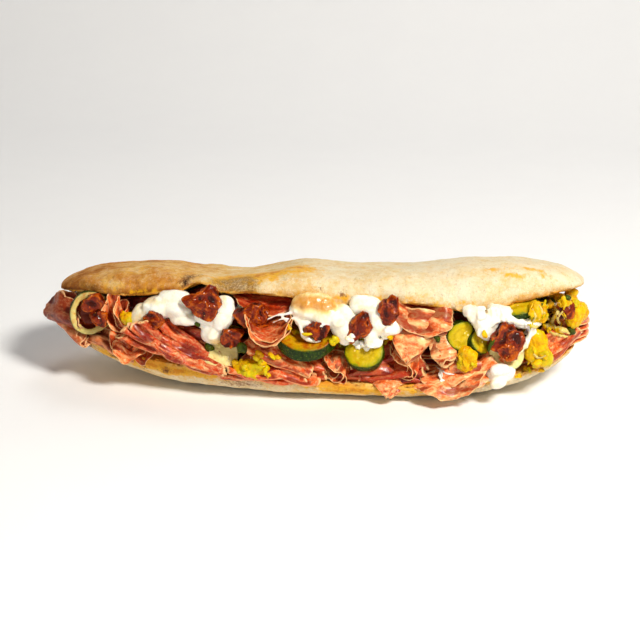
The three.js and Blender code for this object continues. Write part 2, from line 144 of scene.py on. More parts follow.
def curve_through(knots):
    """The same smooth curve through [x, value] knots as the CAD has."""
    xs, vs = (np.array(column, float) for column in zip(*knots))
    last = len(xs) - 1
    before, after = np.maximum(np.arange(last + 1) - 1, 0), np.minimum(np.arange(last + 1) + 1, last)
    slopes = (vs[after] - vs[before]) / (xs[after] - xs[before])

    def at(x):
        x = np.asarray(x, float)
        i = np.clip(np.searchsorted(xs, x, side="left") - 1, 0, last - 1)
        x0, x1, v0, v1 = xs[i], xs[i + 1], vs[i], vs[i + 1]
        t = np.clip((x - x0) / (x1 - x0), 0, 1)
        rise = t * t * (3 - 2 * t)
        bend = (x1 - x0) * t * (1 - t) * (slopes[i] * (1 - t) - slopes[i + 1] * t)
        return v0 + (v1 - v0) * rise + bend

    return at


def power(t, exponent):
    return np.sign(t) * np.abs(t) ** exponent


def outline(x, plan, grow=0.0):
    t = np.minimum(np.abs(x / (plan["half_length"] + grow)), 1)
    return (plan["half_depth"] + grow) * (1 - t ** plan["round"]) ** (1 / plan["round"])


# ---- Sizes shared with the CAD --------------------------------------------------------------

SLICE_SPREAD = math.radians(7)
MOST_DRAPE = math.radians(75)
FOLD_IN_FRONT = 0.42
RUFFLE_AT_FOLD = 0.4
USUAL_FOLD = 2.4
LID_HINGE_Y = -45
CRUST_ROUND = 0.8
BASE_INNER_RISE = 1.5
LID_INNER_DROP = 2.5
LAYER_CLEAR = 0.8
LID_BLUNT = 4.2
LID_TILT = math.tan(math.radians(13))
BASE = dict(half_length=152, half_depth=51.5, centre_y=-1, round=2.35)
LID = dict(half_length=155.5, half_depth=47.5, centre_y=2.5, round=3)
FACE = dict(half_length=166, half_depth=48, round=2.4)
SALAMI_LAYER = dict(low=0, high=0.36, inset=7, bumps=1, seed=3)
COURGETTE_LAYER = dict(low=0.38, high=0.62, inset=12, bumps=1, seed=4)
CREAM_LAYER = dict(low=0.64, high=1, inset=15, bumps=1.2, seed=6)

BASE_LIP = curve_through((
    (-152, 29), (-130, 25), (-100, 21), (-60, 17.5), (-20, 13.5), (30, 11.5), (85, 11.5), (115, 15.5),
    (135, 20), (152, 25),
))
BASE_UNDERSIDE = curve_through((
    (-152, 17), (-125, 8), (-95, 1), (-60, -1.5), (0, -2), (95, -1.5), (125, 5), (152, 15),
))
LID_LIP = curve_through((
    (-158, 59.5), (-137, 60.5), (-110, 60.3), (-89, 62.3), (-77, 64.5), (-65, 69), (-52, 64), (-36, 64.5),
    (-8, 62.5), (21, 58.7), (36, 60.3), (55, 61), (73, 58.8), (87, 56.7), (101, 58), (118, 62.8), (140, 68),
    (158, 72),
))
LID_RISE = curve_through((
    (-158, 9), (-137, 13.5), (-110, 16.5), (-89, 14), (-77, 10), (-65, 4.5), (-52, 8.5), (-36, 9.5),
    (-8, 16.5), (21, 20), (36, 19), (55, 17.8), (73, 22.5), (87, 27.5), (101, 28), (118, 24), (140, 17),
    (150, 11), (158, 5),
))
DRIED_TOMATO = [
    dict(x=-125.6, z=44.6, out=5, size=[11, 9, 11]),
    dict(x=-129, z=51.6, out=3, size=[16, 9, 12], roll=8),
    dict(x=-92.1, z=47, out=5, size=[12, 12, 13]),
    dict(x=-61.7, z=58.2, out=3, size=[21, 13, 19], roll=15, sides=9, rings=6),
    dict(x=-46.6, z=39, out=5, size=[16, 10, 11], roll=-15),
    dict(x=-33.2, z=50.5, out=1, size=[21, 12, 17], sides=9, rings=6),
    dict(x=3.4, z=45.6, out=5, size=[15, 11, 12]),
    dict(x=27.2, z=48.2, out=5, size=[12, 11, 19], roll=28),
    dict(x=43.2, z=57.6, out=4, size=[12, 10, 18], roll=20),
    dict(x=110.8, z=39.5, out=7, size=[21, 12, 19], roll=30, sides=9, rings=6),
    dict(x=143.5, z=54.7, out=3, size=[11, 12, 13], roll=15),
    dict(x=-40, z=30, out=2, size=[19, 12, 13], back=True),
]
COURGETTE_ROUND = [
    dict(x=-131.5, z=45, out=0, radius=12.5, thick=5, bow=1, pitch=-4, yaw=14, squash=1.1, seed=1),
    dict(x=-53.9, z=26.8, out=0, radius=11, pitch=-32, roll=10, yaw=-8, seed=2),
    dict(x=-4.7, z=36.9, out=-7, radius=19.5, thick=8.5, bow=-4.5, pitch=-74, roll=4, seed=4),
    dict(x=29.8, z=31.8, out=-1, radius=12, thick=7, pitch=-40, roll=-6, seed=5),
    dict(x=84, z=41.5, out=0, radius=8.5, thick=7, pitch=-12, yaw=28, seed=6),
    dict(x=95.7, z=36.7, out=-1, radius=8, thick=6, pitch=-30, roll=35, yaw=34, seed=7),
    dict(x=113.9, z=56.8, out=-7, radius=14, thick=7, pitch=-70, roll=-6, yaw=10, seed=8),
    dict(x=111.1, z=31.1, out=2, radius=10.5, thick=6, pitch=-18, yaw=14, seed=9),
]
YELLOW_PIECE = [
    dict(x=-108.2, z=45.3, out=2, size=[9, 10, 9], uneven=0.25, seed=1),
    dict(x=-35.4, z=20.3, out=5, size=[18, 9, 10], uneven=0.28, roll=10, seed=2, sides=9, rings=5),
    dict(x=88.7, z=29.3, out=6, size=[13, 10, 13], uneven=0.28, seed=5),
    dict(x=127.6, z=54.8, out=3, size=[11, 12, 16], uneven=0.22, roll=15, seed=6),
    dict(x=128.5, z=32.3, out=3, size=[17, 12, 22], uneven=0.22, roll=-20, seed=7, sides=9, rings=5),
    dict(x=149.9, z=50, out=-1, size=[13, 14, 17], uneven=0.18, seed=8),
]
CREAM_RUN = [
    dict(path=[[-102.8, 42.4, 5], [-95.6, 51, 7.5], [-84.6, 53.4, 8], [-75, 53, 7]], out=-1, seed=1),
    dict(path=[[-66.5, 48.6, 5.5], [-51.5, 54, 7.5], [-54.5, 44, 7], [-58.5, 35.8, 5.5]], out=1, seed=5),
    dict(path=[[-9, 55.8, 6], [2, 56, 8], [14.5, 51.5, 9], [19.5, 42, 7.5]], out=0, seed=9),
    dict(path=[[24.7, 59.6, 5], [34.5, 56.4, 7], [37, 46.4, 8.5], [47.2, 47.4, 5.5]], out=-1, seed=13),
    dict(path=[[95.2, 52, 8], [99.3, 43.5, 5.5], [103.7, 54.9, 5], [123.4, 46.5, 5]], out=0, seed=17),
    dict(path=[[102.1, 18.6, 6], [112.7, 20.1, 6]], out=4.5, seed=21),
]
HAM_SLICE = [
    dict(x=-149.5, z=42.5, out=-3, radius=18, pitch=58, roll=-4, yaw=-42, ruffle=2.5, waves=3),
    dict(x=-143, z=32.9, out=-2, radius=13.5, fold=1.8, pitch=18, roll=20, yaw=-42, ruffle=1.5),
    dict(x=-118.8, z=26, out=-5, radius=16, fold=1.8, pitch=14, roll=15, yaw=-22, ruffle=1.5),
]
SALAMI_SLICE = [
    dict(x=-116.4, z=45.3, out=0, radius=13, fold=3, rims="out", pitch=8, roll=66, yaw=-10, bend=20),
    dict(
        x=-82.4, z=31.1, out=-3, radius=34, fold=3.2, pitch=20, roll=23, yaw=-4, ruffle=3.4, waves=3,
        bend=120,
    ),
    dict(
        x=-107.8, z=28.7, out=2, radius=11, fold=0, rims="out", pitch=42, roll=20, yaw=-12, ruffle=3,
        waves=5,
    ),
    dict(x=-72.5, z=39.3, out=-6, radius=12, fold=0, pitch=68, roll=-24, ruffle=3, bend=24),
    dict(x=-24.7, z=44.2, out=0, radius=19, fold=0, bend=14, pitch=14, roll=-4, ruffle=1),
    dict(x=-19.1, z=28.3, out=-1, radius=21, fold=2, pitch=26, roll=24, ruffle=3, waves=3),
    dict(x=-23.1, z=18, out=-3, radius=27, pitch=14, roll=5, ruffle=2.8, waves=5),
    dict(x=13.7, z=21.4, out=-7, radius=17, stretch=0.8, fold=3.4, pitch=12, roll=-12, yaw=78, ruffle=1.5),
    dict(x=40.7, z=20.9, out=-7, radius=24, pitch=24, roll=-2, ruffle=3, waves=4),
    dict(
        x=43.4, z=15.9, out=1, radius=13, stretch=0.85, taper=-1.1, fold=0, rims="out", pitch=14, bend=-14,
        drape=9,
    ),
    dict(x=61.9, z=52.8, out=-1, radius=11, stretch=1.75, fold=0, pitch=50, roll=12, ruffle=4.5, waves=4),
    dict(
        x=56.2, z=43.4, out=3, radius=16, stretch=0.95, taper=1.3, fold=0, pitch=68, roll=10, bend=-18,
        ruffle=2.5, waves=3,
    ),
    dict(
        x=74.6, z=37.2, out=0, radius=25, stretch=0.3, taper=0.9, fold=1.8, rims="out", pitch=66, roll=-12,
        bend=-14, ruffle=1,
    ),
    dict(x=53.1, z=25.8, out=-7, radius=20, stretch=0.72, fold=3.8, pitch=10, roll=-12, yaw=76, ruffle=2),
    dict(x=91.4, z=24.1, out=-2, radius=18, fold=3.4, pitch=22, roll=-14, yaw=8, ruffle=4, waves=4),
    dict(
        x=79.3, z=16.5, out=1, radius=16, stretch=1.4, fold=0, rims="out", pitch=4, roll=-11, ruffle=1.6,
        waves=5, drape=14,
    ),
    dict(x=139.3, z=34, out=-4, radius=15, fold=3, pitch=30, roll=-24, yaw=36, ruffle=3, waves=4),
    dict(x=-26.9, z=58.4, out=-13, radius=16, stretch=1.3, fold=0, pitch=20, roll=3, ruffle=1.5),
    dict(x=-70, z=25, out=-8, radius=24, pitch=10, roll=-4, ruffle=3, back=True),
    dict(x=70, z=19, out=-8, radius=26, pitch=10, roll=3, ruffle=3, back=True),
]


# ---- Building meshes ------------------------------------------------------------------------


def grid_faces(rows, columns, wrap=False, start=0):
    """Quads of a grid of points, row after row; `wrap` closes each row on itself."""
    i = np.arange(rows - 1)[:, None]
    j = np.arange(columns if wrap else columns - 1)[None, :]
    a = start + i * columns + j
    b = start + i * columns + (j + 1) % columns
    return np.stack(np.broadcast_arrays(a, b, b + columns, a + columns), -1).reshape(-1, 4).tolist()


def tube_faces(rows, columns):
    """Faces of a grid whose rows are rings, with a cap on its first and last ring."""
    last = (rows - 1) * columns
    caps = [list(range(columns))[::-1], list(range(last, last + columns))]
    return grid_faces(rows, columns, wrap=True) + caps


def outward(points, faces):
    """The same faces, turned so that they enclose a positive volume."""
    volume = 0.0
    for size in {len(face) for face in faces}:
        corners = points[np.array([face for face in faces if len(face) == size])]
        for k in range(1, size - 1):
            volume += np.sum(corners[:, 0] * np.cross(corners[:, k], corners[:, k + 1]))
    return faces if volume > 0 else [face[::-1] for face in faces]


def part(points, faces, **marks):
    """One closed skin: its points, its faces turned outward, and the values its material reads."""
    points = np.asarray(points, float).reshape(-1, 3)
    for mark, value in marks.items():
        if np.isscalar(value):
            marks[mark] = np.full(len(points), value)
    return points, outward(points, faces), marks


def tube_part(rings, **marks):
    """A closed skin over a grid whose rows are rings."""
    return part(rings, tube_faces(*rings.shape[:2]), **marks)


def build(name, *parts):
    """A smooth mesh object made of one or more closed skins."""
    points = np.concatenate([p for p, _, _ in parts])
    faces, start = [], 0
    for p, f, _ in parts:
        faces += [[i + start for i in face] for face in f]
        start += len(p)
    mesh = bpy.data.meshes.new(name)
    mesh.from_pydata((points * MM).tolist(), [], faces)
    for mark in parts[0][2]:
        values = [np.asarray(marks[mark], float).reshape(len(p), -1) for p, _, marks in parts]
        values = np.concatenate(values)
        vector = values.shape[1] == 3
        layer = mesh.attributes.new(mark, "FLOAT_VECTOR" if vector else "FLOAT", "POINT")
        layer.data.foreach_set("vector" if vector else "value", values.reshape(-1))
    mesh.shade_smooth()
    return add_object(name, mesh)


def dress(thing, material, slot, *nodes):
    """Gives a piece its material, hangs it on the root, and hides the CAD nodes it stands for."""
    thing.data.materials.clear()
    thing.data.materials.append(material)
    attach(thing, "root")
    if nodes:
        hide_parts(*nodes)


def surface_normals(points):
    """Outward normals of a closed form given as a grid of rings."""
    across = (np.roll(points, -1, axis=1) - np.roll(points, 1, axis=1)) / 2
    n = np.cross(np.gradient(points, axis=0), across)
    n = n / np.maximum(np.linalg.norm(n, axis=-1, keepdims=True), 1e-9)
    return n if np.mean(np.sum(n * (points - points.mean(axis=(0, 1))), -1)) > 0 else -n


def turned(points, spec, centre, half_turn=False):
    """Points turned and placed as the CAD turns and places a piece."""
    yaw = spec.get("yaw", 0) + (180 if half_turn else 0)
    angles = [math.radians(angle) for angle in (spec.get("pitch", 0), spec.get("roll", 0), yaw)]
    return points @ np.array(Euler(angles, "XYZ").to_matrix()).T + centre


def on_face(spec, x=None, z=None, out=0.0):
    """The CAD's place for a piece: on the filling's face, `out` millimetres proud of it."""
    x = spec["x"] if x is None else x
    z = spec["z"] if z is None else z
    y = -outline(x, FACE) - spec.get("out", 0) - out
    return np.array([x, -y if spec.get("back") else y, z])


def near(points, place, radius):
    """1 at a place, falling away over `radius`, which may be given for each axis."""
    d = (points - np.array(place, float)) / np.array(radius, float)
    return np.exp(-np.sum(d * d, axis=-1))


def near_each(points, rows):
    """The sum over rows of place, radius and strength."""
    return sum(strength * near(points, place, radius) for place, radius, strength in rows)


# ---- Bread ----------------------------------------------------------------------------------


def lid_lip(x, y):
    return LID_LIP(x) - (y - LID_HINGE_Y) * LID_TILT


def cad_relief(x, y, size, seed):
    a = np.sin(x / size + 1.7 * seed + 0.8 * np.sin(y / size + seed))
    b = np.sin(y / size + 2.3 * seed + 0.9 * np.sin(x / size - seed))
    c = np.sin(0.5 * x / (0.7 * size) + 3.1 * seed)
    return (a + b + 0.7 * c) / 2.7


def loaf(plan, lip, rise, drop, rings, sides, floor=-math.inf, blunt=3.0, bumps=0.0, seed=1, inset=0.0,
         fray=0.0):
    """The CAD's loaf form on a fine grid. Gives points, and each point's share of the height:
    above 0 on top, below 0 underneath."""
    along = -np.cos(np.linspace(0.02, math.pi - 0.02, rings))[:, None]
    around = np.linspace(0, FULL_TURN, sides, endpoint=False)[None, :]
    x = (plan["half_length"] - inset) * along * np.ones_like(around)
    y = plan["centre_y"] + outline(x, plan, -inset) * power(np.cos(around), CRUST_ROUND)
    share = power(np.sin(around), CRUST_ROUND) * np.ones_like(x)
    taper = (1 - np.abs(along) ** blunt) ** (1 / blunt)
    height = np.where(share > 0, rise(x, y), drop(x, y)) - inset
    flat = np.stack([x, y, np.zeros_like(x)], -1)
    bump = bumps * cad_relief(x, y, 11, seed) * share * taper
    edge = fray * layered_noise(flat, 9, 3, seed) * np.exp(-((share / 0.3) ** 2))
    z = lip(x, y) + height * share * taper + bump + edge
    return np.stack([x, y, np.maximum(z, floor)], -1), share


# Marks that the photograph shows on the crust: place, radius and strength.
LID_CHAR = [
    ((-74, -39, 67), (3.0, 6, 3.0), 1.2), ((-71, -33, 68), (5, 5, 2.5), 0.7),
    ((17, -44, 64), (1.5, 3, 1.3), 1.1), ((-140, -24, 58), (7, 8, 3), 0.55),
    ((-128, -31, 60), (4, 5, 3), 0.4), ((4, -44, 67), (1.2, 3, 1.0), 0.7),
    ((-118, -35, 66), (3, 4, 2), 0.4),
]
LID_SOOT = [
    ((-130, -33, 60), (8, 5, 2.5), 0.8), ((-137, -29, 61), (4, 5, 3), 0.6),
    ((-42, -43, 67), (10, 9, 6), 1.5), ((-45, -37, 71), (9, 8, 4), 1.0),
    ((-56, -40, 69), (8, 6, 4), 0.6),
]
LID_STAIN = [
    ((-26, -28, 71), (8, 5, 4), 1.4), ((-12, -21, 72), (9, 6, 4), 1.5),
    ((-34, -33, 70), (7, 4, 3), 1.2), ((-47, -29, 68), (9, 7, 4), 1.3),
    ((-3, -26, 73), (6, 4, 4), 0.9), ((-58, -34, 66), (8, 5, 4), 0.8),
    ((105, -26, 76), (8, 2, 4), 0.9), ((114, -31, 74), (9, 1.8, 4), 0.95),
    ((124, -23, 76), (8, 2, 4), 0.95), ((132, -28, 74), (7, 2, 4), 0.7),
    ((-24, -38, 69), (9, 4, 4), 1.05), ((-8, -32, 72), (7, 4, 4), 0.95),
    ((-36, -40, 68), (6, 3, 3), 0.8), ((-57, -41, 67), (8, 5, 4), 0.7),
    ((-18, -31, 71), (9, 4, 4), 0.6), ((38, -45, 62), (30, 4, 3.2), 0.75),
    ((-5, -45, 63), (20, 4, 3), 0.5), ((-102, -40, 61), (24, 5, 3), 0.7),
    ((84, -43, 60), (22, 5, 3), 0.55), ((-104, -20, 66), (10, 8, 5), 0.6),
]
BASE_CHAR = [
    ((-86, -44, 15), (3.5, 5, 2.5), 0.9), ((-118, -37, 19), (4, 5, 2.5), 0.7),
    ((-42, -50, 10), (14, 6, 4), 0.45), ((-134, -28, 22), (5, 5, 3), 0.6),
    ((-100, -42, 14), (3, 5, 2), 0.5), ((100, -44, 12), (10, 5, 3), 0.4),
]
BASE_SOOT = [((-40, -50, 10), (16, 6, 4), 0.5)]
BASE_STAIN = [
    ((22, -52, 9), (22, 6, 6), 1.5), ((60, -50, 9), (20, 6, 4), 0.8),
    ((128, -32, 20), (24, 12, 7), 0.75), ((-96, -43, 17), (20, 9, 4), 1.4),
    ((-122, -32, 20), (14, 8, 4), 1.0), ((-76, -47, 15), (14, 8, 3.5), 1.3),
    ((-56, -50, 13), (10, 8, 3.5), 0.8),
]
# How dark the crust is painted along x, from 0 to 1: real browning, and painted shade
# that darkens the left end, away from the key light.
LID_TAN_AND_SHADE = curve_through((
    (-158, 0.58), (-120, 0.50), (-80, 0.44), (-52, 0.30), (-20, 0.21), (10, 0.15), (60, 0.07), (158, 0.09),
))
BASE_TAN_AND_SHADE = curve_through(((-152, 0.26), (-90, 0.18), (-30, 0.14), (40, 0.22), (100, 0.10), (152, 0.06)))
BLISTERS = 110
TORN_HOLES = 2.4


def bread(name, points, share, seed, top_is_crust, cut, tan, **spots):
    """Works a loaf form up into crust and torn crumb, parted at the share `cut`."""
    normals = surface_normals(points)
    crust_side = share if top_is_crust else -share
    crumb = step(cut + 0.06, cut - 0.08, crust_side + 0.05 * noise(points, 4, seed))
    draw = np.random.default_rng(seed)
    blisters = sum(
        draw.uniform(0.3, 0.9) * near(points, place, draw.uniform(2.0, 6.0))
        for place in draw.uniform(points.min((0, 1)), points.max((0, 1)), (BLISTERS, 3))
    )
    lift = 0.8 * layered_noise(points, 22, 2, seed) + 0.22 * layered_noise(points, 6, 3, seed + 1)
    lift += 0.6 * blisters
    lift += 0.5 * np.exp(-((crust_side / 0.16) ** 2)) * layered_noise(points, 2.6, 2, seed + 6)
    holes = np.clip(noise(points, 4.2, seed + 3) - 0.15, 0, 1)
    holes = holes + 0.6 * np.clip(noise(points, 2.1, seed + 4) - 0.1, 0, 1)
    torn = 0.5 * layered_noise(points, 3.0, 2, seed + 5) - TORN_HOLES * holes
    ends = step(0.0, 0.03, 1 - np.abs(points[..., 0]) / np.abs(points[..., 0]).max())
    lift, torn = lift * ends, torn * ends
    moved = points + normals * (lift + crumb * (torn - lift))[..., None]
    if not top_is_crust:
        moved[..., 2] = np.maximum(moved[..., 2], 0.0)
    cloud = layered_noise(points, 30, 3, seed + 7)
    # The value read from x carries painted shade on the left end as well as real browning.
    browned_and_shaded = tan(points[..., 0])
    toast = browned_and_shaded + (0.06 + 0.12 * browned_and_shaded) * cloud + 0.07 * layered_noise(points, 7, 2, seed + 8)
    toast += 0.34 * step(0.34, 0.0, crust_side + 0.06 * cloud) * (0.75 + 0.6 * cloud)
    marks = {mark: near_each(points, rows) for mark, rows in spots.items()}
    return build(name, tube_part(moved, toast=toast, crumb=crumb, **marks))


def make_lid(name):
    rise, drop = (lambda x, y: LID_RISE(x)), (lambda x, y: LID_INNER_DROP)
    points, share = loaf(LID, lid_lip, rise, drop, 310, 144, blunt=LID_BLUNT, bumps=1.1, seed=5, fray=0.9)
    spots = dict(char=LID_CHAR, stain=LID_STAIN, soot=LID_SOOT)
    return bread(name, points, share, 3, True, -0.02, LID_TAN_AND_SHADE, **spots)


def make_base(name):
    lip, rise = (lambda x, y: BASE_LIP(x)), (lambda x, y: BASE_INNER_RISE)
    drop = lambda x, y: BASE_LIP(x) - BASE_UNDERSIDE(x)
    points, share = loaf(BASE, lip, rise, drop, 260, 124, floor=0.0, bumps=0.5, seed=2, fray=0.9)
    spots = dict(char=BASE_CHAR, stain=BASE_STAIN, soot=BASE_SOOT)
    return bread(name, points, share, 5, False, 0.10, BASE_TAN_AND_SHADE, **spots)


# ---- Slices of meat -------------------------------------------------------------------------


def sheet(spec, thick, wrinkle, spacing):
    """The CAD's folded slice on a fine grid, with pleats, finer wrinkles and thin ragged rims."""
    radius, seed, fold = spec["radius"], spec["seed"], spec.get("fold", USUAL_FOLD)
    stretch, ruffle, waves = spec.get("stretch", 1), spec.get("ruffle", 0), spec.get("waves", 4)
    bend, drape = spec.get("bend", 0), spec.get("drape", 0)
    pleat = spec["pleat"] * wrinkle
    rows = max(30, int(2 * radius / spacing * (1.2 if fold else 1.0)))
    columns = max(26, int(2 * radius * stretch / spacing))
    reach = fold * (math.pi / 2 - SLICE_SPREAD)
    b, a = np.meshgrid(power(np.linspace(-1, 1, rows), 1.2), np.linspace(-1, 1, columns), indexing="ij")
    angle = np.arctan2(b, a)
    ring = np.stack([np.cos(angle), np.sin(angle), np.full_like(a, seed)], -1)
    ragged = 1 + 0.05 * np.sin(3 * angle + seed) + 0.03 * np.sin(7 * angle + 2 * seed)
    ragged = ragged + 0.045 * layered_noise(ring, 0.30, 3, seed)
    rim = np.maximum(np.abs(a), np.abs(b))
    u0 = a * np.sqrt(1 - b * b / 2) * radius * ragged * stretch
    l0 = b * np.sqrt(1 - a * a / 2) * radius * ragged
    flat = np.stack([u0, l0, np.full_like(u0, 40.0 * seed)], -1)
    way = np.where(l0 < 0, -1.0, 1.0)
    half_thick = thick / 2 * (0.30 + 0.70 * (1 - rim**6))
    faces, fold_shadings = [], []
    for side in (1, -1):
        half = side * half_thick
        u, m, n = u0.copy(), l0.copy(), half
        if fold:
            arc = np.minimum(np.abs(l0), reach)
            theta, rest = arc / fold, np.abs(l0) - arc
            m = fold * (1 - np.cos(theta)) + rest * np.sin(theta) + half * np.cos(theta)
            n = way * (fold * np.sin(theta) + rest * np.cos(theta) - half * np.sin(theta))
        share = m / radius if fold else (m / radius + 1) / 2
        phase = waves * u / (radius * stretch) + seed + 0.8 * share
        n = n + ruffle * (RUFFLE_AT_FOLD + (1 - RUFFLE_AT_FOLD) * share) * np.sin(phase)
        u = u * (1 + spec.get("taper", 0) * (share - 0.5))
        loose = 0.35 + 0.65 * np.clip(share, 0, 1)
        along = np.stack([u0 / 3.4, m + 0.10 * u0, np.full_like(u, 11.0 * seed)], -1) / spec["crease"]
        across = np.stack([u0 / 4.0, m - 0.06 * u0, np.full_like(u, 5.0 * seed)], -1)
        relief = ridges(along, 6.0, seed) ** 2
        small = ridges(across, 2.6, seed + 3) ** 2
        folds = 2.8 * (relief - 0.7) + 0.5 * (small - 0.7) + 0.2 * noise(along, 2.6, seed + 1)
        n = n + pleat * (0.5 + 0.5 * loose) * folds
        spot = np.stack([u0, m, np.full_like(u, 11.0 * seed)], -1)
        n = n + wrinkle * loose * 1.2 * layered_noise(spot, 11, 2, seed)
        n = n + wrinkle * 1.1 * np.clip((rim - 0.72) / 0.28, 0, 1) ** 1.5 * noise(spot, 5.5, seed + 6)
        m = m + 0.5 * wrinkle * noise(spot, 9, seed + 2)
        outer = -side * way if fold else side * np.ones_like(way)
        # The fold mark: 1 on the crests of the folds and 0 in their valleys; the material paints highlight on
        # the crests and shade in the valleys.
        raised = np.clip((0.7 * relief + 0.3 * small - 0.30) / 0.66, 0, 1)
        fold_shadings.append(0.5 + outer * (raised - 0.5))
        if bend:
            swing = u / bend
            u, n = (bend - n) * np.sin(swing), bend - (bend - n) * np.cos(swing)
        if fold:
            m = m - FOLD_IN_FRONT * radius
        if spec.get("rims", "in") == "out":
            m = -m
        if drape:
            swing = np.minimum(-m / drape, MOST_DRAPE)
            hang = -m - swing * drape
            hanging_m = -(drape + n) * np.sin(swing) - hang * np.cos(swing)
            hanging_n = (drape + n) * np.cos(swing) - drape - hang * np.sin(swing)
            m, n = np.where(m < 0, hanging_m, m), np.where(m < 0, hanging_n, n)
        faces.append(turned(np.stack([u, m, n], -1), spec, on_face(spec), spec.get("back", False)))
    count = rows * columns
    quads = grid_faces(rows, columns) + [q[::-1] for q in grid_faces(rows, columns, start=count)]
    loop = [j * columns for j in range(rows - 1)] + [(rows - 1) * columns + i for i in range(columns - 1)]
    loop += [j * columns + columns - 1 for j in range(rows - 1, 0, -1)] + list(range(columns - 1, 0, -1))
    quads += [[p, q, q + count, p + count] for p, q in zip(loop, loop[1:] + loop[:1])]
    return part(np.stack(faces), quads, flat=np.stack([flat] * 2), rim=np.stack([rim] * 2),
                crest=np.stack(fold_shadings), tone=spec["tone"])


# Thin slices that lie with a folded one: [right, up, out, scale, pitch, roll, yaw] from its own place.
ITSELF = (0, 0, 0, 1, 0, 0, 0)
USUAL_LEAVES = [ITSELF, (1.5, -1.8, -1.6, 0.97, 2, 2, 3), (-1.5, 1.8, -2.6, 0.93, -2, -3, -4)]
# Painted shade for each leaf of a slice, by its order: the leaves behind the first are darker.
LEAF_SHADE = (0.0, 0.25, 0.1, 0.4, 0.3)
LEAF_THIN = 0.85
NARROW_FORWARD = 0.8
FINE_SPACING, LEAF_SPACING = 1.0, 1.4

# By number of slice: `tone`, painted shade above 0, and below 0 paler with more fat, partly
# real fat and partly painted light; depth of `pleat`; spacing of `crease`; [radius, stretch, fold] of a
# `narrow` fold; and `leaves`.
SALAMI = dict(
    thick=1.0,
    wrinkle=0.9,
    tone={1: 0.2, 2: 0.25, 3: -0.3, 4: 0.9, 5: 0.2, 6: -0.2, 7: 0.25, 8: -0.3, 9: 0.9, 10: -0.2, 11: -0.6,
          12: -0.7, 13: -0.9, 14: -0.1, 15: -0.4, 16: -0.6, 17: 0.1, 18: 0.9},
    pleat={2: 1.5, 5: 0.4, 9: 1.1, 10: 0.3, 11: 0.7, 12: 0.4, 13: 0.25, 15: 0.7, 16: 0.5},
    crease={2: 0.8, 11: 1.5, 12: 1.6, 13: 1.5},
    narrow={2: (20.0, 1.7, 1.5), 7: (20.0, 1.35, 1.6), 9: (19.0, 1.25, 1.9)},
    leaves={
        1: [ITSELF, (5.5, -2, -2.0, 0.78, 0, 8, -6)],
        2: [(0, -3.0, -1.0, 0.94, 6, -5, 0), (3, -2.0, -0.6, 0.96, 8, -1, 1), (5, -1.0, -0.6, 0.93, 10, 2, 2),
            (9, 0.4, -2.0, 0.85, 14, 6, 3), (13, 1.6, -4.0, 0.74, 18, 11, 4)],
        3: [ITSELF, (8, -3, -1.5, 0.75, 4, -26, -8), (-4, 3, -1.6, 0.8, 6, 22, 4)],
        5: [ITSELF, (0.5, 1.4, -1.6, 0.90, 2, 3, 3), (2, -2.6, -3.4, 0.86, 0, -5, -4)],
        7: [ITSELF, (5, 3.0, -2.0, 0.96, 3, 3, 2), (-5, -2.2, -1.0, 0.95, -1, -3, -3),
            (9, 5.6, -4.5, 0.85, 6, 6, 3)],
        9: [ITSELF, (3, 3.2, -1.6, 0.95, 4, 3, 3), (-4, -3.0, 0.4, 0.96, -4, -4, -4),
            (6, -6.0, 0.5, 0.82, -8, 3, 2), (-2, 6.4, -3.5, 0.85, 8, -3, 2)],
        15: [ITSELF, (2, 2.6, -1.4, 0.94, 4, 5, 3), (-2, -2.8, 0.2, 0.97, -4, -5, -3),
             (5, 5.2, -3.2, 0.85, 8, 9, 5)],
        16: [ITSELF, (3, 2.4, -2.2, 0.94, 6, 4, 4), (-4, 4.4, -4.4, 0.88, 10, -5, -5)],
        17: [ITSELF, (1.5, -2.4, -1.0, 0.94, -4, -5, 3), (-2, 2.6, -2.0, 0.92, 5, 6, -4)],
    },
)
HAM = dict(
    thick=1.4,
    wrinkle=0.7,
    tone={1: 0.7, 2: -0.5, 3: -0.8},
    pleat={1: 0.7},
    crease={1: 1.3},
    narrow={},
    leaves={1: [ITSELF, (2, -3, -0.8, 0.9, -6, 6, 5), (3, 3, -1.5, 0.85, 6, -5, -4)]},
)


def slices(name, spec, number, style):
    """A folded slice as served: with the thinner ones that lie over and under it."""
    spec = dict(spec, pleat=style["pleat"].get(number, 1.0), crease=style["crease"].get(number, 1.0))
    own_out = spec["out"]
    if number in style["narrow"]:
        radius, stretch, fold = style["narrow"][number]
        own_out += FOLD_IN_FRONT * (spec["radius"] - radius) * NARROW_FORWARD
        spec.update(radius=radius, stretch=stretch, fold=fold)
    usual = USUAL_LEAVES if spec.get("fold", USUAL_FOLD) else USUAL_LEAVES[:2]
    sheets = []
    for k, (right, up, out, scale, pitch, roll, yaw) in enumerate(style["leaves"].get(number, usual)):
        leaf = dict(
            spec, x=spec["x"] + right, z=spec["z"] + up, out=own_out + out, radius=spec["radius"] * scale,
            pitch=spec.get("pitch", 0) + pitch, roll=spec.get("roll", 0) + roll, yaw=spec.get("yaw", 0) + yaw,
            seed=number + 7.3 * k, tone=style["tone"].get(number, 0.0) + LEAF_SHADE[k],
        )
        thin, spacing = (1, FINE_SPACING) if k == 0 else (LEAF_THIN, LEAF_SPACING)
        sheets.append(sheet(leaf, style["thick"] * thin, style["wrinkle"], spacing))
    return build(name, *sheets)


# ---- Chunks and rounds ----------------------------------------------------------------------


def ball(subdivisions):
    """Directions evenly spread over a ball, and the faces between them."""
    made = bmesh.new()
    bmesh.ops.create_icosphere(made, subdivisions=subdivisions, radius=1.0)
    made.verts.ensure_lookup_table()
    directions = unit(np.array([v.co[:] for v in made.verts]))
    faces = [[v.index for v in f.verts] for f in made.faces]
    made.free()
    return directions, faces


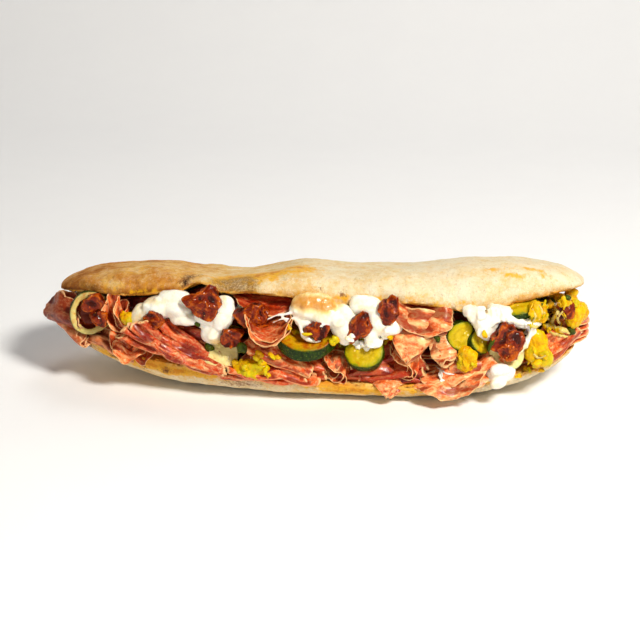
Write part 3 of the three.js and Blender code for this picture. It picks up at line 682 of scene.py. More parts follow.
def lumps(d, seed):
    a = np.sin(3.1 * d[:, 0] + seed) * np.cos(2.7 * d[:, 1] + 1.9 * seed)
    return 0.6 * a + 0.6 * np.sin(3.7 * d[:, 2] + 2.3 * seed + 1.4 * d[:, 0])


def chunk_form(spec, d):
    """The CAD's uneven rounded piece, before it is turned and placed."""
    f = 1 + spec.get("uneven", 0.14) * lumps(d, spec["seed"])
    return d * f[:, None] * np.array(spec["size"], float) * 0.5


LARGE_TOMATO = 16.5


def dried_tomato(name, spec):
    """A leathery piece of dried tomato: an angular outline, a shallow dish, deep folds, curled rims."""
    large = max(spec["size"]) > LARGE_TOMATO and not spec.get("back")
    way = 1.0 if spec.get("back") else -1.0
    d, faces = ball(6 if large else 5)
    seed, size = spec["seed"], np.array(spec["size"], float) * 0.5
    form = chunk_form(spec, d)
    local = d * size
    draw = np.random.default_rng(40 + seed)
    sides = 4 if large else 5
    angles = np.sort((np.arange(sides) + draw.uniform(-0.22, 0.22, sides)) * FULL_TURN / sides)
    angles = angles + draw.uniform(0, 6)
    reach = draw.uniform(0.80, 1.0, sides)
    flat_dir = d[:, [0, 2]] / np.maximum(np.linalg.norm(d[:, [0, 2]], axis=1), 1e-6)[:, None]
    facing = [np.clip(flat_dir @ [math.cos(a), math.sin(a)], 0, 1) / r for a, r in zip(angles, reach)]
    polygon = 1 / np.sum(np.stack(facing, -1) ** 7, axis=-1) ** (1 / 7)
    middle = np.abs(d[:, 1])
    form[:, [0, 2]] *= (1 + (np.clip(polygon, 0.82, 1.16) - 1) * (1 - middle**3))[:, None]
    front = way * d[:, 1]
    lipped = np.exp(-(((front - 0.45) / 0.22) ** 2))
    curl = noise(at_depth(flat_dir * 1.3, 3.0 * seed), 0.8, seed)
    form[:, 1] += way * size[1] * (0.22 * lipped * (0.4 + curl) - 0.26 * step(0.45, 0.95, front))
    bent = local + 1.5 * np.stack([noise(local, 6.5, seed + k) for k in (1, 2, 3)], -1)
    fold = ridges(bent * [1, 1, 0.7], 5.6, seed)
    crease = ridges(bent, 2.1, seed + 4)
    fine = ridges(bent + 3.0, 1.2, seed + 6)
    relief = 1.2 * (fold**2 - 0.66) + 0.5 * (crease**2 - 0.7) + 0.14 * (fine**2 - 0.7)
    form = form + d * (relief + 0.8 * noise(local, 4.5, seed + 8))[:, None]
    # Where the tomato is painted orange: its ridges and curled lips, partly the paler thin flesh and partly
    # painted light on the ridges.
    thin = 0.65 * step(0.60, 1.0, fold) + 0.2 * step(0.7, 1.0, crease)
    thin = thin + 0.5 * lipped * np.clip(0.5 + curl, 0, 1)
    # Painted shade: 1 in the valleys of the folds and creases, where the material darkens the tomato.
    deep = step(0.72, 0.35, fold) + 0.4 * step(0.7, 0.3, crease)
    placed = turned(form, spec, on_face(spec))
    return build(name, part(placed, faces, thin=thin, deep=deep, flat=local + 30 * seed))


def yellow_piece(name, spec):
    """A soft, torn cube: blunt faces, stringy edges and shreds hanging off it."""
    d, faces = ball(5)
    seed, size = spec["seed"], np.array(spec["size"], float) * 0.5
    local = d * size
    blunt = 1 / np.maximum.reduce(np.abs(d), axis=1) - 1.25
    strings = ridges(local * [1, 1, 0.3], 2.6, seed + 2) ** 2 - 0.75
    extra = 1.0 * blunt + 0.7 * layered_noise(local, 6, 2, seed) + 0.8 * strings
    placed = turned(chunk_form(spec, d) + d * extra[:, None], spec, on_face(spec))
    skins = [part(placed, faces, thin=step(0.0, 1.0, extra), flat=local + 30 * seed)]
    draw = np.random.default_rng(seed)
    small, small_faces = ball(3)
    for _ in range(int(5 + size[0]) if size[0] > 5 else 0):
        way = unit(draw.normal(size=3) * [1, 0.8, 1])
        if abs(way[2]) > 0.75:
            continue
        long = draw.uniform(1.8, 3.4)
        stretch = np.array([draw.uniform(0.7, 1.2), draw.uniform(0.6, 1.0), long])
        lean = dict(pitch=draw.uniform(-25, 25), roll=draw.uniform(-40, 40))
        shred = small * stretch * (1 + 0.25 * noise(small, 0.8, draw.uniform(0, 50)))[:, None]
        centre = turned((way * size * 0.86)[None, :], spec, on_face(spec))[0]
        skins.append(part(turned(shred, lean, centre), small_faces, thin=0.6, flat=shred + centre))
    return build(name, *skins)


def courgette_disc(radius, thick, seed, bow, squash=1.0, hollow=0.0, pale=0.0, steps=20, sides=76):
    """A cut round, facing -Y: skin round its edge, seeds in its heart, each face a little sunk."""
    edge = min(1.6, thick * 0.3)
    corner = np.linspace(0, math.pi / 2, 6)[1:]
    top = [(r, thick / 2) for r in np.linspace(0.02, 1, steps) * (radius - edge)]
    top += [(radius - edge + edge * math.sin(c), thick / 2 - edge + edge * math.cos(c)) for c in corner]
    profile = [(r, -h) for r, h in top] + [(r, h) for r, h in top[::-1]]
    r0, h0 = (np.array(v)[:, None] for v in zip(*profile))
    angle = np.linspace(0, FULL_TURN, sides, endpoint=False)[None, :]
    wobble = 1 + 0.05 * np.sin(2 * angle + seed) + 0.03 * np.sin(3 * angle + 2 * seed)
    x, z = r0 * np.cos(angle), r0 * np.sin(angle)
    local = np.stack([x, h0 * np.ones_like(angle), z], -1)
    radial = r0 / radius * np.ones_like(angle)
    heart = step(0.62, 0.40, radial)
    relief = 0.3 + 0.4 * heart * ridges(local, 2.6, seed) + 0.4 * layered_noise(local, 4, 2, seed + 1)
    dip = step(0.93, 0.86, radial) * relief + hollow * step(0.80, 0.45, radial)
    warp = 0.8 * noise(local * [1, 0, 1], 11, seed + 2)
    depth = h0 - np.sign(h0) * dip + bow * (x * wobble) ** 2 / radius**2 + warp
    grow = 1 + 0.03 * noise(local, 4, seed + 3)
    shape = np.stack([x * wobble * grow, depth, z * wobble * squash * grow], -1)
    skin = step(radius - 1.1, radius - 0.4, r0) * step(thick / 2 - 0.2, thick / 2 - 0.8, np.abs(h0))
    skin = skin * np.ones_like(angle)
    return shape, dict(radial=radial, skin=skin, pale=pale, flat=local.reshape(-1, 3) + 30 * seed)


# By the round's seed: depth of a scooped heart, how pale its flesh is, and how oiled it is.
HOLLOW = {1: 4.2, 9: 1.5}
PALE = {1: 0.7, 2: 1.0, 9: 1.0}
GLAZED = {4: 1.0, 1: 0.5, 7: 0.3}
# By the round's seed: how far its scooped heart is painted dark red-brown.
DARKENED_HEART = {1: 0.95}


def courgette_round(name, spec):
    seed = spec["seed"]
    shape, marks = courgette_disc(
        spec["radius"], spec.get("thick", 6), seed, spec.get("bow", 2), spec.get("squash", 1),
        HOLLOW.get(seed, 0.0), PALE.get(seed, 0.0),
    )
    scoop = DARKENED_HEART.get(seed, 0.0) * step(0.78, 0.66, marks["radial"])
    placed = turned(shape, spec, on_face(spec))
    return build(name, tube_part(placed, **marks, glaze=GLAZED.get(seed, 0.0), scoop=scoop))


# ---- Cream ----------------------------------------------------------------------------------

# Where orange oil has run over the cream: place, radius and strength.
OILED = [
    ((-2, -52, 62), (13, 14, 5), 1.7), ((10, -51, 60), (7, 12, 4), 1.0), ((-100, -44, 47), (6, 9, 6), 0.7),
    ((-92, -46, 58), (12, 9, 3), 0.5), ((-54, -48, 35), (7, 9, 5), 0.6), ((30, -50, 60), (8, 9, 3), 0.5),
    ((40, -50, 46), (5, 9, 5), 0.4), ((-103, -42, 38), (5, 9, 4), 0.9), ((-52, -50, 30), (6, 6, 8), 0.5),
    ((126, -44, 34), (10, 8, 4), 0.8), ((30, -52, 34), (5, 5, 4), 0.35),
]
CREAM_VOXEL = 0.62


def melted(name, pieces, smooth, lump, size, seed):
    """Joins overlapping closed pieces into one soft skin with stretched folds in it."""
    rough = build(name + "_rough", *[part(points, faces) for points, faces in pieces])
    remesh = rough.modifiers.new("join", "REMESH")
    remesh.mode, remesh.voxel_size = "VOXEL", CREAM_VOXEL * MM
    soften = rough.modifiers.new("soften", "SMOOTH")
    soften.factor, soften.iterations = 0.6, smooth
    done = bpy.data.meshes.new_from_object(rough.evaluated_get(bpy.context.evaluated_depsgraph_get()))
    bpy.data.objects.remove(rough)
    done.name = name
    place, normal = np.empty(len(done.vertices) * 3), np.empty(len(done.vertices) * 3)
    done.vertices.foreach_get("co", place)
    done.vertices.foreach_get("normal", normal)
    place, normal = place.reshape(-1, 3) / MM, normal.reshape(-1, 3)
    pull = (place + 1.5 * noise(place, 9, seed + 5)[:, None]) * [1.0, 1.0, 0.4]
    folds = ridges(pull, size, seed + 3) ** 2 - 0.72
    lift = lump * (0.9 * layered_noise(place, size * 1.6, 2, seed) + 1.5 * folds)
    place = place + normal * lift[:, None]
    done.vertices.foreach_set("co", (place * MM).reshape(-1))
    done.attributes.new("oiled", "FLOAT", "POINT").data.foreach_set("value", near_each(place, OILED))
    done.shade_smooth()
    return add_object(name, done)


def strand(points, radii, sides):
    """A closed thread through points, with a radius at each and rounded ends."""
    points, radii = np.asarray(points, float), np.asarray(radii, float)
    t = np.linspace(0, len(points) - 1, 10 * (len(points) - 1) + 1)
    i = np.clip(t.astype(int), 0, len(points) - 2)
    f = (t - i)[:, None]
    before, after = points[np.maximum(i - 1, 0)], points[np.minimum(i + 2, len(points) - 1)]
    p1, p2 = points[i], points[i + 1]
    squared, cubed = 2 * before - 5 * p1 + 4 * p2 - after, 3 * p1 - before - 3 * p2 + after
    line = 0.5 * (2 * p1 + (p2 - before) * f + squared * f**2 + cubed * f**3)
    r = np.interp(t, np.arange(len(radii)), radii)
    ahead = np.gradient(line, axis=0)
    run = np.cumsum(np.linalg.norm(ahead, axis=1))
    for to_end in (run - run[0], run[-1] - run):
        r = r * np.sqrt(1 - (1 - np.clip(to_end / r, 0.03, 1)) ** 2)
    ahead = unit(ahead)
    one = unit(np.cross(ahead, [0.0, 1.0, 0.15]))
    two = np.cross(ahead, one)
    turn = np.linspace(0, FULL_TURN, sides, endpoint=False)[None, :, None]
    rings = line[:, None] + r[:, None, None] * (np.cos(turn) * one[:, None] + np.sin(turn) * two[:, None])
    return rings.reshape(-1, 3), tube_faces(len(line), sides)


# How far a run of cream draws back behind the dried tomato on it, by the run's number.
SET_BACK = {2: 1.5}
CURDY_RUN = 5
# Times of smoothing, height of the folds and their size.
SMOOTH_CREAM, BLOCK_CREAM, CURDY_CREAM = (9, 0.34, 8.0), (3, 0.34, 8.0), (2, 0.75, 4.0)
CREAM_FINISH = {5: CURDY_CREAM, 6: BLOCK_CREAM}
# Drips, arms and pulled threads of each run of cream: points [x, z, out] with a radius at each.
DRIPS = {
    1: [([(-97, 53, 0), (-101, 47, 1), (-103.4, 41.4, 1.5), (-102.6, 38, 1)], (6, 5.6, 5, 3)),
        ([(-90, 58, 0), (-80.4, 59, 0.5), (-70, 58, 0)], (4.5, 5, 4.5)),
        ([(-83, 47, 0), (-79, 47, 1), (-72.7, 47.1, 2), (-66, 46.2, 2)], (3.5, 4.2, 4, 3))],
    2: [([(-68.8, 45.6, 0), (-62.9, 44.6, 0), (-60.2, 41.2, 0.5), (-61.4, 38.5, 1), (-60.6, 33.7, 1)],
         (3.2, 3.4, 4, 3.8, 2.6)),
        ([(-49.4, 58.6, 0), (-49.5, 51, 1), (-52.5, 44.4, 1.5), (-54.6, 38.6, 1)], (4.8, 4.8, 4.4, 3)),
        ([(-56, 57, 0), (-50, 58.5, 0), (-46.5, 55, 0)], (4, 4, 3.4))],
    3: [([(-12.1, 58.4, 0), (-3.6, 60.3, 0.5), (5.9, 59.8, 0), (12.5, 57.5, 0)], (5, 6, 6, 5)),
        ([(-26, 51, 6), (-19.9, 53.6, 5), (-14, 54.4, 4), (-10.2, 54.6, 2.5)], (0.5, 0.8, 0.9, 1.6)),
        ([(-22.7, 49.4, 6.5), (-17, 51.6, 5.5), (-12.1, 51.6, 4.5), (-8.6, 51, 3)], (0.4, 0.7, 0.8, 1.4)),
        ([(-17.5, 52.8, 5), (-14.6, 50.4, 5.5), (-12.4, 46.4, 5.5), (-13, 43, 5.5)], (0.7, 0.8, 0.7, 0.4)),
        ([(-8.4, 52, 3), (-6.9, 48, 4), (-6.2, 44.3, 4.5), (-5.2, 40.5, 5)], (2.4, 1.4, 1.1, 0.9)),
        ([(-10, 50, 2), (-4, 49, 2), (0, 50.5, 1)], (2.4, 3.2, 3)),
        ([(-6.4, 43.4, 5), (-2.6, 40.6, 6), (2.1, 39.1, 6.5), (5.9, 39.6, 6)], (1.3, 1.7, 1.4, 0.9)),
        ([(13, 57, 0), (20, 53, 0.5), (24, 47, 0.5)], (5.6, 5, 4)),
        ([(13, 50, 1), (16, 44, 1.5), (18.5, 39, 1.5), (21, 36, 1.5)], (3.6, 3.8, 3.6, 3)),
        ([(18, 50, 2), (21, 44, 2.5), (24.5, 39.5, 2)], (2.8, 3.2, 2.4))],
    4: [([(21, 60.6, -1), (30.5, 60.4, -0.5), (39.1, 58.4, -1)], (4, 4.4, 4)),
        ([(33, 51.9, 0), (33.5, 44.3, 1), (33, 39.6, 2), (32, 36.8, 3)], (5.4, 5.4, 4.8, 3.4)),
        ([(41, 51, 1), (46, 48.2, 2), (50, 46.6, 2.5)], (4.0, 4.2, 3.4)),
        ([(30, 39, 3), (35, 37.5, 3.5), (40.6, 38.4, 3)], (2.6, 3.2, 2.6))],
    5: [([(85.5, 57.7, 0), (91.2, 54.9, 1), (96, 50.2, 2), (99.1, 45.4, 2)], (4, 5, 5, 4)),
        ([(98.7, 57.7, 1), (106.4, 56.4, 2), (114.1, 55.1, 2)], (4, 3.6, 2.6)),
        ([(106.3, 54.1, 3), (115, 50.4, 4), (122.8, 48.6, 4.5), (130.7, 48.2, 4)], (3.4, 3.0, 3.4, 2.2)),
        ([(122.8, 48.6, 5), (123.9, 41.9, 6), (120.2, 35.2, 7), (112.5, 32.3, 7.5), (104.8, 34.2, 7)],
         (2.4, 1.9, 2.2, 2.6, 2.0)),
        ([(124.8, 45.7, 5), (127.1, 39.1, 5), (126.3, 33.3, 5)], (1.8, 1.6, 1.1))],
    6: [([(101.5, 22.6, 4.5), (107, 23.6, 5), (113.2, 23.4, 4.5)], (3.2, 3.4, 3.2)),
        ([(102, 15.8, 5), (106, 15.2, 5.5), (111.4, 16.6, 5)], (3.2, 3.2, 3))],
}


def cream_run(name, spec):
    """A run of cream: the CAD's drops melted together with soft folds, drips and pulled threads."""
    d, faces = ball(3)
    seed, number = spec["seed"], spec["number"]
    draw = np.random.default_rng(100 + seed)
    spec = dict(spec, out=spec["out"] - SET_BACK.get(number, 0.0))
    pieces = []
    for i, ((x1, z1, r1), (x2, z2, r2)) in enumerate(zip(spec["path"], spec["path"][1:])):
        leg = dict(
            spec, x=(x1 + x2) / 2, z=(z1 + z2) / 2, uneven=0.08, seed=seed + i,
            roll=-math.degrees(math.atan2(z2 - z1, x2 - x1)),
            size=[math.hypot(x2 - x1, z2 - z1) + 0.8 * (r1 + r2), 1.1 * (r1 + r2), r1 + r2],
        )
        pieces.append((turned(0.9 * chunk_form(leg, d), leg, on_face(leg)), faces))
        for _ in range(12 if number == CURDY_RUN else 1):
            t, r = draw.uniform(0.0, 1.0), draw.uniform(0.20, 0.40) * (r1 + r2) / 2
            turn = draw.uniform(-1.25, 1.25)
            reach = (r1 + (r2 - r1) * t) * 0.92
            lump = on_face(spec, x1 + (x2 - x1) * t, z1 + (z2 - z1) * t + reach * math.sin(turn))
            lump = lump - [0, reach * math.cos(turn), 0]
            pieces.append((lump + d * r * [1.5, 0.9, 1.0], faces))
    for points, radii in DRIPS[number]:
        pieces.append(strand([on_face(spec, x, z, out) for x, z, out in points], radii, 12))
    return melted(name, pieces, *CREAM_FINISH.get(number, SMOOTH_CREAM), seed)


# ---- Layers ---------------------------------------------------------------------------------


def layer_height(x, y, share):
    """Height at a share of the wedge between the two halves of the bread."""
    low = BASE_LIP(x) + BASE_INNER_RISE + LAYER_CLEAR
    high = lid_lip(x, y) - LID_INNER_DROP - LAYER_CLEAR
    return low + (high - low) * share


def layer_plan(inset):
    return dict(half_length=FACE["half_length"] - inset, half_depth=FACE["half_depth"] - inset,
                centre_y=1, round=FACE["round"])


def layer_core(spec, inset, rings, sides, rough, size):
    """The CAD's layer on a fine grid, drawn in by `inset` and roughened."""
    low, high = spec["low"], spec["high"]
    middle = lambda x, y: layer_height(x, y, (low + high) / 2)
    thick = lambda x, y: layer_height(x, y, high) - layer_height(x, y, low)
    half = lambda x, y: np.maximum(thick(x, y) / 2, inset + 0.3)
    points, _ = loaf(layer_plan(spec["inset"]), middle, half, half, rings, sides, bumps=spec["bumps"],
                     seed=spec["seed"], inset=inset)
    lift = rough * layered_noise(points, size, 3, spec["seed"])
    return points + surface_normals(points) * lift[..., None]


def plan_walk(plan, count):
    """Points evenly spread round a plan outline, the way out at each, how far each is along it, its
    length, and a unit circle walked in step with it."""
    t = np.linspace(0, FULL_TURN, 4001)
    n = 2 / plan["round"]
    x = plan["half_length"] * power(np.cos(t), n)
    y = plan["centre_y"] + plan["half_depth"] * power(np.sin(t), n)
    run = np.concatenate([[0], np.cumsum(np.hypot(np.diff(x), np.diff(y)))])
    s = np.linspace(0, run[-1], count, endpoint=False)
    walk = np.stack([np.interp(s, run, x), np.interp(s, run, y)], -1)
    along = np.roll(walk, -1, axis=0) - np.roll(walk, 1, axis=0)
    out = unit(np.stack([along[:, 1], -along[:, 0]], -1))
    ring = np.stack([np.cos(FULL_TURN * s / run[-1]), np.sin(FULL_TURN * s / run[-1])], -1)
    return walk, out, s, run[-1], ring


def thin_band(ribs, count, row):
    """A thin closed band round the food: row(share, side) gives the points across it."""
    across = np.linspace(0, 1, ribs)
    points = np.stack([row(share, 1) for share in across] + [row(share, -1) for share in across[::-1]])
    last = (2 * ribs - 1) * count
    quads = grid_faces(2 * ribs, count, wrap=True)
    quads += [[i, last + i, last + (i + 1) % count, (i + 1) % count] for i in range(count)]
    return points, quads


def with_height(xy, share, lift=0.0):
    return np.concatenate([xy, (layer_height(xy[:, 0], xy[:, 1], share) + lift)[:, None]], 1)


SHEETS_IN_LAYER = 5
SHEET_RIBS, SHEET_POINTS, SHEET_REACH = 7, 340, 13.0
LOBE_LENGTH = 37


def salami_stack(name, spec):
    """Overlapping thin rounds whose wavy edges show all round, over the layer's core."""
    core = layer_core(spec, 1.6, 100, 32, 0.6, 8.0)
    # Painted shade: the core is painted fully dark (tone and shade 1, fold mark 0).
    skins = [tube_part(core, flat=core, rim=0.0, crest=0.0, tone=1.0)]
    walk, out, s, length, ring = plan_walk(layer_plan(spec["inset"]), SHEET_POINTS)
    for k in range(SHEETS_IN_LAYER):
        level = spec["low"] + (spec["high"] - spec["low"]) * (k + 0.5) / SHEETS_IN_LAYER
        lobes = np.abs(np.sin(math.pi * s * round(length / LOBE_LENGTH) / length + 1.9 * k)) ** 0.8
        reach = -1.4 + 2.6 * lobes + 0.6 * noise(at_depth(ring * 60, 9.0 * k), 6, k)
        spot = at_depth(walk, 17.0 * k)
        sway = 0.9 * layered_noise(spot, 12, 2, 20 + k) + 0.5 * noise(spot, 5, 30 + k)

        def row(c, side):
            xy = walk + out * (reach - (1 - c) * SHEET_REACH)[:, None]
            return with_height(xy, level, sway * (0.3 + 0.7 * c) + side * 0.55 * (1 - 0.6 * c**5))

        points, quads = thin_band(SHEET_RIBS, SHEET_POINTS, row)
        across = np.linspace(0, 1, SHEET_RIBS)
        rim = np.repeat(np.concatenate([across, across[::-1]]), SHEET_POINTS)
        flat = points * [1, 1, 0] + [0, 0, 50 * k]
        # Painted shade on the sheets: darker over all (tone and shade 0.4) and in from their rims, with
        # painted light at the rims.
        skins.append(part(points, quads, flat=flat, rim=rim, crest=0.25 + 0.5 * rim**4, tone=0.4))
    return build(name, *skins)


def courgette_tiles(name, spec):
    """Thin rounds laid like tiles, their skins showing round the edge, over the layer's core."""
    core = layer_core(spec, 1.8, 100, 32, 0.6, 8.0)
    skins = [tube_part(core, radial=0.7, skin=0.0, pale=0.0, flat=core)]
    draw = np.random.default_rng(5)
    walk, out, *_ = plan_walk(layer_plan(spec["inset"]), 46)
    for i, (place, way) in enumerate(zip(walk, out)):
        share = spec["low"] + (spec["high"] - spec["low"]) * (0.30 if i % 2 else 0.70)
        radius, thick = draw.uniform(12, 15), draw.uniform(3.2, 4.2)
        centre = place - way * (radius - draw.uniform(0.2, 1.8))
        disc, marks = courgette_disc(radius, thick, i + 1, 0.0, steps=5, sides=28)
        lean = draw.uniform(-0.05, 0.05, 2)
        x, y = centre[0] + disc[..., 0], centre[1] + disc[..., 2]
        z = layer_height(x, y, share) + disc[..., 1] + lean[0] * disc[..., 0] + lean[1] * disc[..., 2]
        skins.append(tube_part(np.stack([x, y, z], -1), **marks))
    return build(name, *skins)


def cream_spread(name, spec):
    return build(name, tube_part(layer_core(spec, 0.0, 150, 60, 1.5, 13.0)))


LINING_RIBS, LINING_POINTS = 12, 420
LINING_FOOT, LINING_TALL = 0.40, 0.58


def meat_lining(name, spec):
    """Crumpled slices that stand up behind the pieces of the filling, all round."""
    walk, out, _, _, ring = plan_walk(layer_plan(spec["inset"] - 1.2), LINING_POINTS)
    right_end = step(118, 146, walk[:, 0])

    def row(c, side):
        spot = at_depth(ring * 70, 22.0 * c)
        crumple = 1.5 * (ridges(spot * [1, 1, 0.5], 7, 31) ** 2 - 0.7) * 2
        push = crumple + 1.0 * layered_noise(spot, 5, 2, 32) + side * 0.5
        share = LINING_FOOT + c * (LINING_TALL - 0.12 * right_end)
        return with_height(walk + out * (push - 1.0 - 3.0 * right_end)[:, None], share)

    points, quads = thin_band(LINING_RIBS, LINING_POINTS, row)
    # Painted shade: the lining is painted fully dark (tone and shade 1) with darkened folds (fold mark 0.2),
    # so it shows as dark gaps between the pieces.
    return build(name, part(points, quads, flat=points, rim=0.0, crest=0.2, tone=1.0))


# ---- Small things ---------------------------------------------------------------------------


def landed(x, z, lift=0.0):
    """Where the line of sight through a place on the filling's face first meets the food, `lift`
    in front of it, and the name of what it meets."""
    aim = (Vector(on_face({}, x, z) * MM) - camera.location).normalized()
    depsgraph = bpy.context.evaluated_depsgraph_get()
    hit, place, _, _, thing, _ = scene.ray_cast(depsgraph, camera.location, aim)
    return np.array(place) / MM - np.array(aim) * lift, thing.name if hit else ""


def strings(name, rows, **marks):
    """Threads that lie over the food: the places each passes, its middle radius and its lift."""
    skins = []
    for places, radius, lift in rows:
        points = [landed(x, z, lift)[0] for x, z in places]
        radii = [0.75 * radius * k for k in [0.45] + [1.0] * (len(points) - 2) + [0.4]]
        points, faces = strand(points, radii, 10)
        points = points + 0.3 * radius * noise(points, 2.2, radius)[:, None]
        skins.append(part(points, faces, flat=points, **marks))
    return build(name, *skins)


def bits(name, rows, seed, uneven=0.3, sunk=0.35, subdivisions=3, only=(), **marks):
    """Small torn pieces half sunk in what they lie on: place [x, z], size [x, y, z] and lean."""
    d, faces = ball(subdivisions)
    skins = []
    for k, (x, z, size, lean) in enumerate(rows, seed):
        half = np.array(size, float) / 2
        local = d * half
        form = d * (half * (1 + uneven * lumps(d, k))[:, None])
        rough = 0.5 * layered_noise(local, 0.9 * half.mean() + 0.3, 2, k)
        form = form + d * (0.5 * half.mean() * rough)[:, None]
        place, under = landed(x, z, half[1] * (1 - 2 * sunk))
        if not under or (only and not under.startswith(only)):
            continue
        turn = dict(pitch=20 * math.sin(k), roll=lean, yaw=30 * math.sin(3.1 * k))
        skins.append(part(turned(form, turn, place), faces, flat=local + 9 * k, thin=0.4, **marks))
    return build(name, *skins)


YELLOW_BITS = [
    (-31.5, 26.5, (6, 5, 5), 20), (-29.6, 22.1, (4, 4, 6), -10), (-27.7, 17.8, (3.4, 3.4, 5.5), 10),
    (-25.8, 14.4, (2.4, 2.4, 4), 5), (-23.8, 27, (5, 4, 3), 35), (-20, 26, (4, 3, 2.6), 20),
    (-45.1, 21.1, (5, 5, 5), 0), (-39.3, 18.7, (5, 4, 4), 30), (12.1, 37.6, (6, 5, 5), 30),
    (16.4, 35.2, (5, 4, 4.5), 10), (-10.3, 41.9, (5, 3.5, 3), 30), (-14.1, 44.8, (4.4, 3, 2.6), 35),
    (-2.6, 40.9, (6, 3, 2.6), 0), (41.1, 37.7, (5, 4, 4), 20), (44.9, 41, (5.5, 3.4, 3), -40),
    (124.7, 53.3, (4, 3.5, 5), 20), (132.2, 49.6, (3.4, 3.2, 6), 15), (136.5, 54.5, (3.4, 3, 5.5), -20),
    (134, 43.9, (5, 4, 4.5), 30), (139.2, 60.8, (6, 4, 4.5), 0), (144.3, 58.6, (6, 5, 5), 20),
    (132.7, 27.4, (6, 4, 5), 20), (129, 22.1, (6.5, 4, 4.5), -30), (123.2, 19.1, (5, 3.4, 3.6), 10),
    (118.4, 15.2, (4, 2.4, 2.4), -20), (131.1, 17.7, (4.4, 3, 3), 0), (98.1, 41.6, (3, 3, 5), 0),
    (141.1, 41.2, (5, 4, 4), 40), (92, 23.4, (3, 2.4, 2.6), 0), (139, 61.5, (9, 7, 7), 10),
    (147, 61.5, (9, 7, 7), -15), (131.5, 61.5, (8, 6, 5), 5), (149.2, 56, (5, 4, 5), 10),
    (143, 58, (6, 5, 6), 30), (135, 57.5, (5, 4, 7), -20),
]
GREEN_BITS = [
    (71.5, 39.1, (2.8, 2.4, 8), -30), (148.3, 39.9, (4.2, 3.4, 9), -8), (136.2, 59.7, (5, 3, 3.4), 20),
    (102.2, 35.9, (2.6, 2.6, 8), 25), (-41.1, 30.8, (6, 4, 7), 30), (-66.9, 44.3, (4, 3, 3), 0),
    (-60.4, 29.8, (5, 4, 6), 15), (130.4, 57.7, (2, 2, 3), 0), (145, 60.5, (4, 3, 3), 10),
    (130.8, 62.5, (5, 3, 3), -10),
]
CREAM_BITS = [(73.5, 17.0, (1.9, 1.5, 4.6), -14), (74.6, 13.8, (3.2, 1.6, 1.8), 12)]
CREAM_CURDS = [
    (21, 38.5, (5, 4, 4), 10), (25, 36.6, (5, 4, 4.4), -20), (29, 35.4, (5, 4, 4), 20),
    (33, 35.2, (5, 4, 3.6), 0), (26.5, 34, (3.6, 3, 3), 30), (31, 33, (4, 3, 3), -10),
    (22.5, 40.5, (4, 3, 3), 0), (43, 45, (5, 4, 4), 20),
]
CREAM_THREADS = [
    ([(70.9, 22.4), (73.8, 19.9), (74.9, 16.1)], 0.9, 0.4),
    ([(73.8, 20.4), (77.7, 18), (81.6, 17.5)], 0.8, 0.4),
]
SHREDS = [
    ([(124.6, 56.2), (126.8, 51.4), (125, 47.6)], 1.0, 0.4),
    ([(128.4, 58.1), (130.6, 53.4), (128.8, 48.6)], 0.9, 0.4),
    ([(133.3, 58.2), (131.6, 52.5), (134.8, 47.8), (134, 43.9)], 1.2, 0.5),
    ([(137.3, 57.4), (139.6, 52.7), (136.8, 47.8), (139, 43)], 1.4, 0.5),
    ([(142.6, 52.8), (139.7, 48.8), (142, 44.1)], 1.2, 0.4),
    ([(132.9, 45.8), (138, 43), (143.1, 41.2), (147.4, 38.4)], 1.9, 0.4),
    ([(135.1, 41), (141.2, 38.3), (146.4, 36.5)], 1.7, 0.3),
    ([(122.1, 46.6), (127, 44.7), (130.9, 46.7)], 1.4, 0.4),
    ([(140.3, 58.4), (137.5, 54.5), (134.5, 53.5)], 1.5, 0.4),
    ([(126.7, 28.4), (129.8, 25.5), (133.7, 26.5)], 1.0, 0.3),
]


def fine_shreds():
    """Thin shreds that hang among the pieces at the right end."""
    draw = np.random.default_rng(17)
    rows = []
    for _ in range(18):
        x, z, fall, lean = draw.uniform((124, 44, 3, -0.5), (146, 61, 6, 0.6))
        knee = (x + lean * fall / 2 + draw.uniform(-1, 1), z - fall / 2)
        rows.append(([(x, z), knee, (x + lean * fall, z - fall)], draw.uniform(0.6, 1.1), 0.1))
    return rows


def crumb_rows():
    """Crumbs of crust on the lower lip."""
    draw = np.random.default_rng(21)
    rows = []
    for _ in range(80):
        x = draw.uniform(-128, 140)
        r = draw.uniform(0.5, 1.5)
        rows.append((x, BASE_LIP(x) + draw.uniform(-1.5, 4.0), (r * 1.5, r, r), draw.uniform(-60, 60)))
    return rows


def oil_rows():
    """Beads of orange oil on the meat and along the lower lip."""
    draw = np.random.default_rng(8)
    rows = []
    for _ in range(60):
        x = draw.uniform(-140, 145)
        r = draw.uniform(0.4, 1.3)
        z = draw.uniform(BASE_LIP(x) + 1, BASE_LIP(x) + 24)
        rows.append((x, z, (r * 1.4, r * 0.5, r), draw.uniform(-60, 60)))
    return rows


# ---- Materials ------------------------------------------------------------------------------


def rgb(r, g, b):
    """An sRGB colour, 0 to 255, as linear light."""
    channels = [v / 255 for v in (r, g, b)]
    return tuple([v / 12.92 if v <= 0.04045 else ((v + 0.055) / 1.055) ** 2.4 for v in channels] + [1.0])


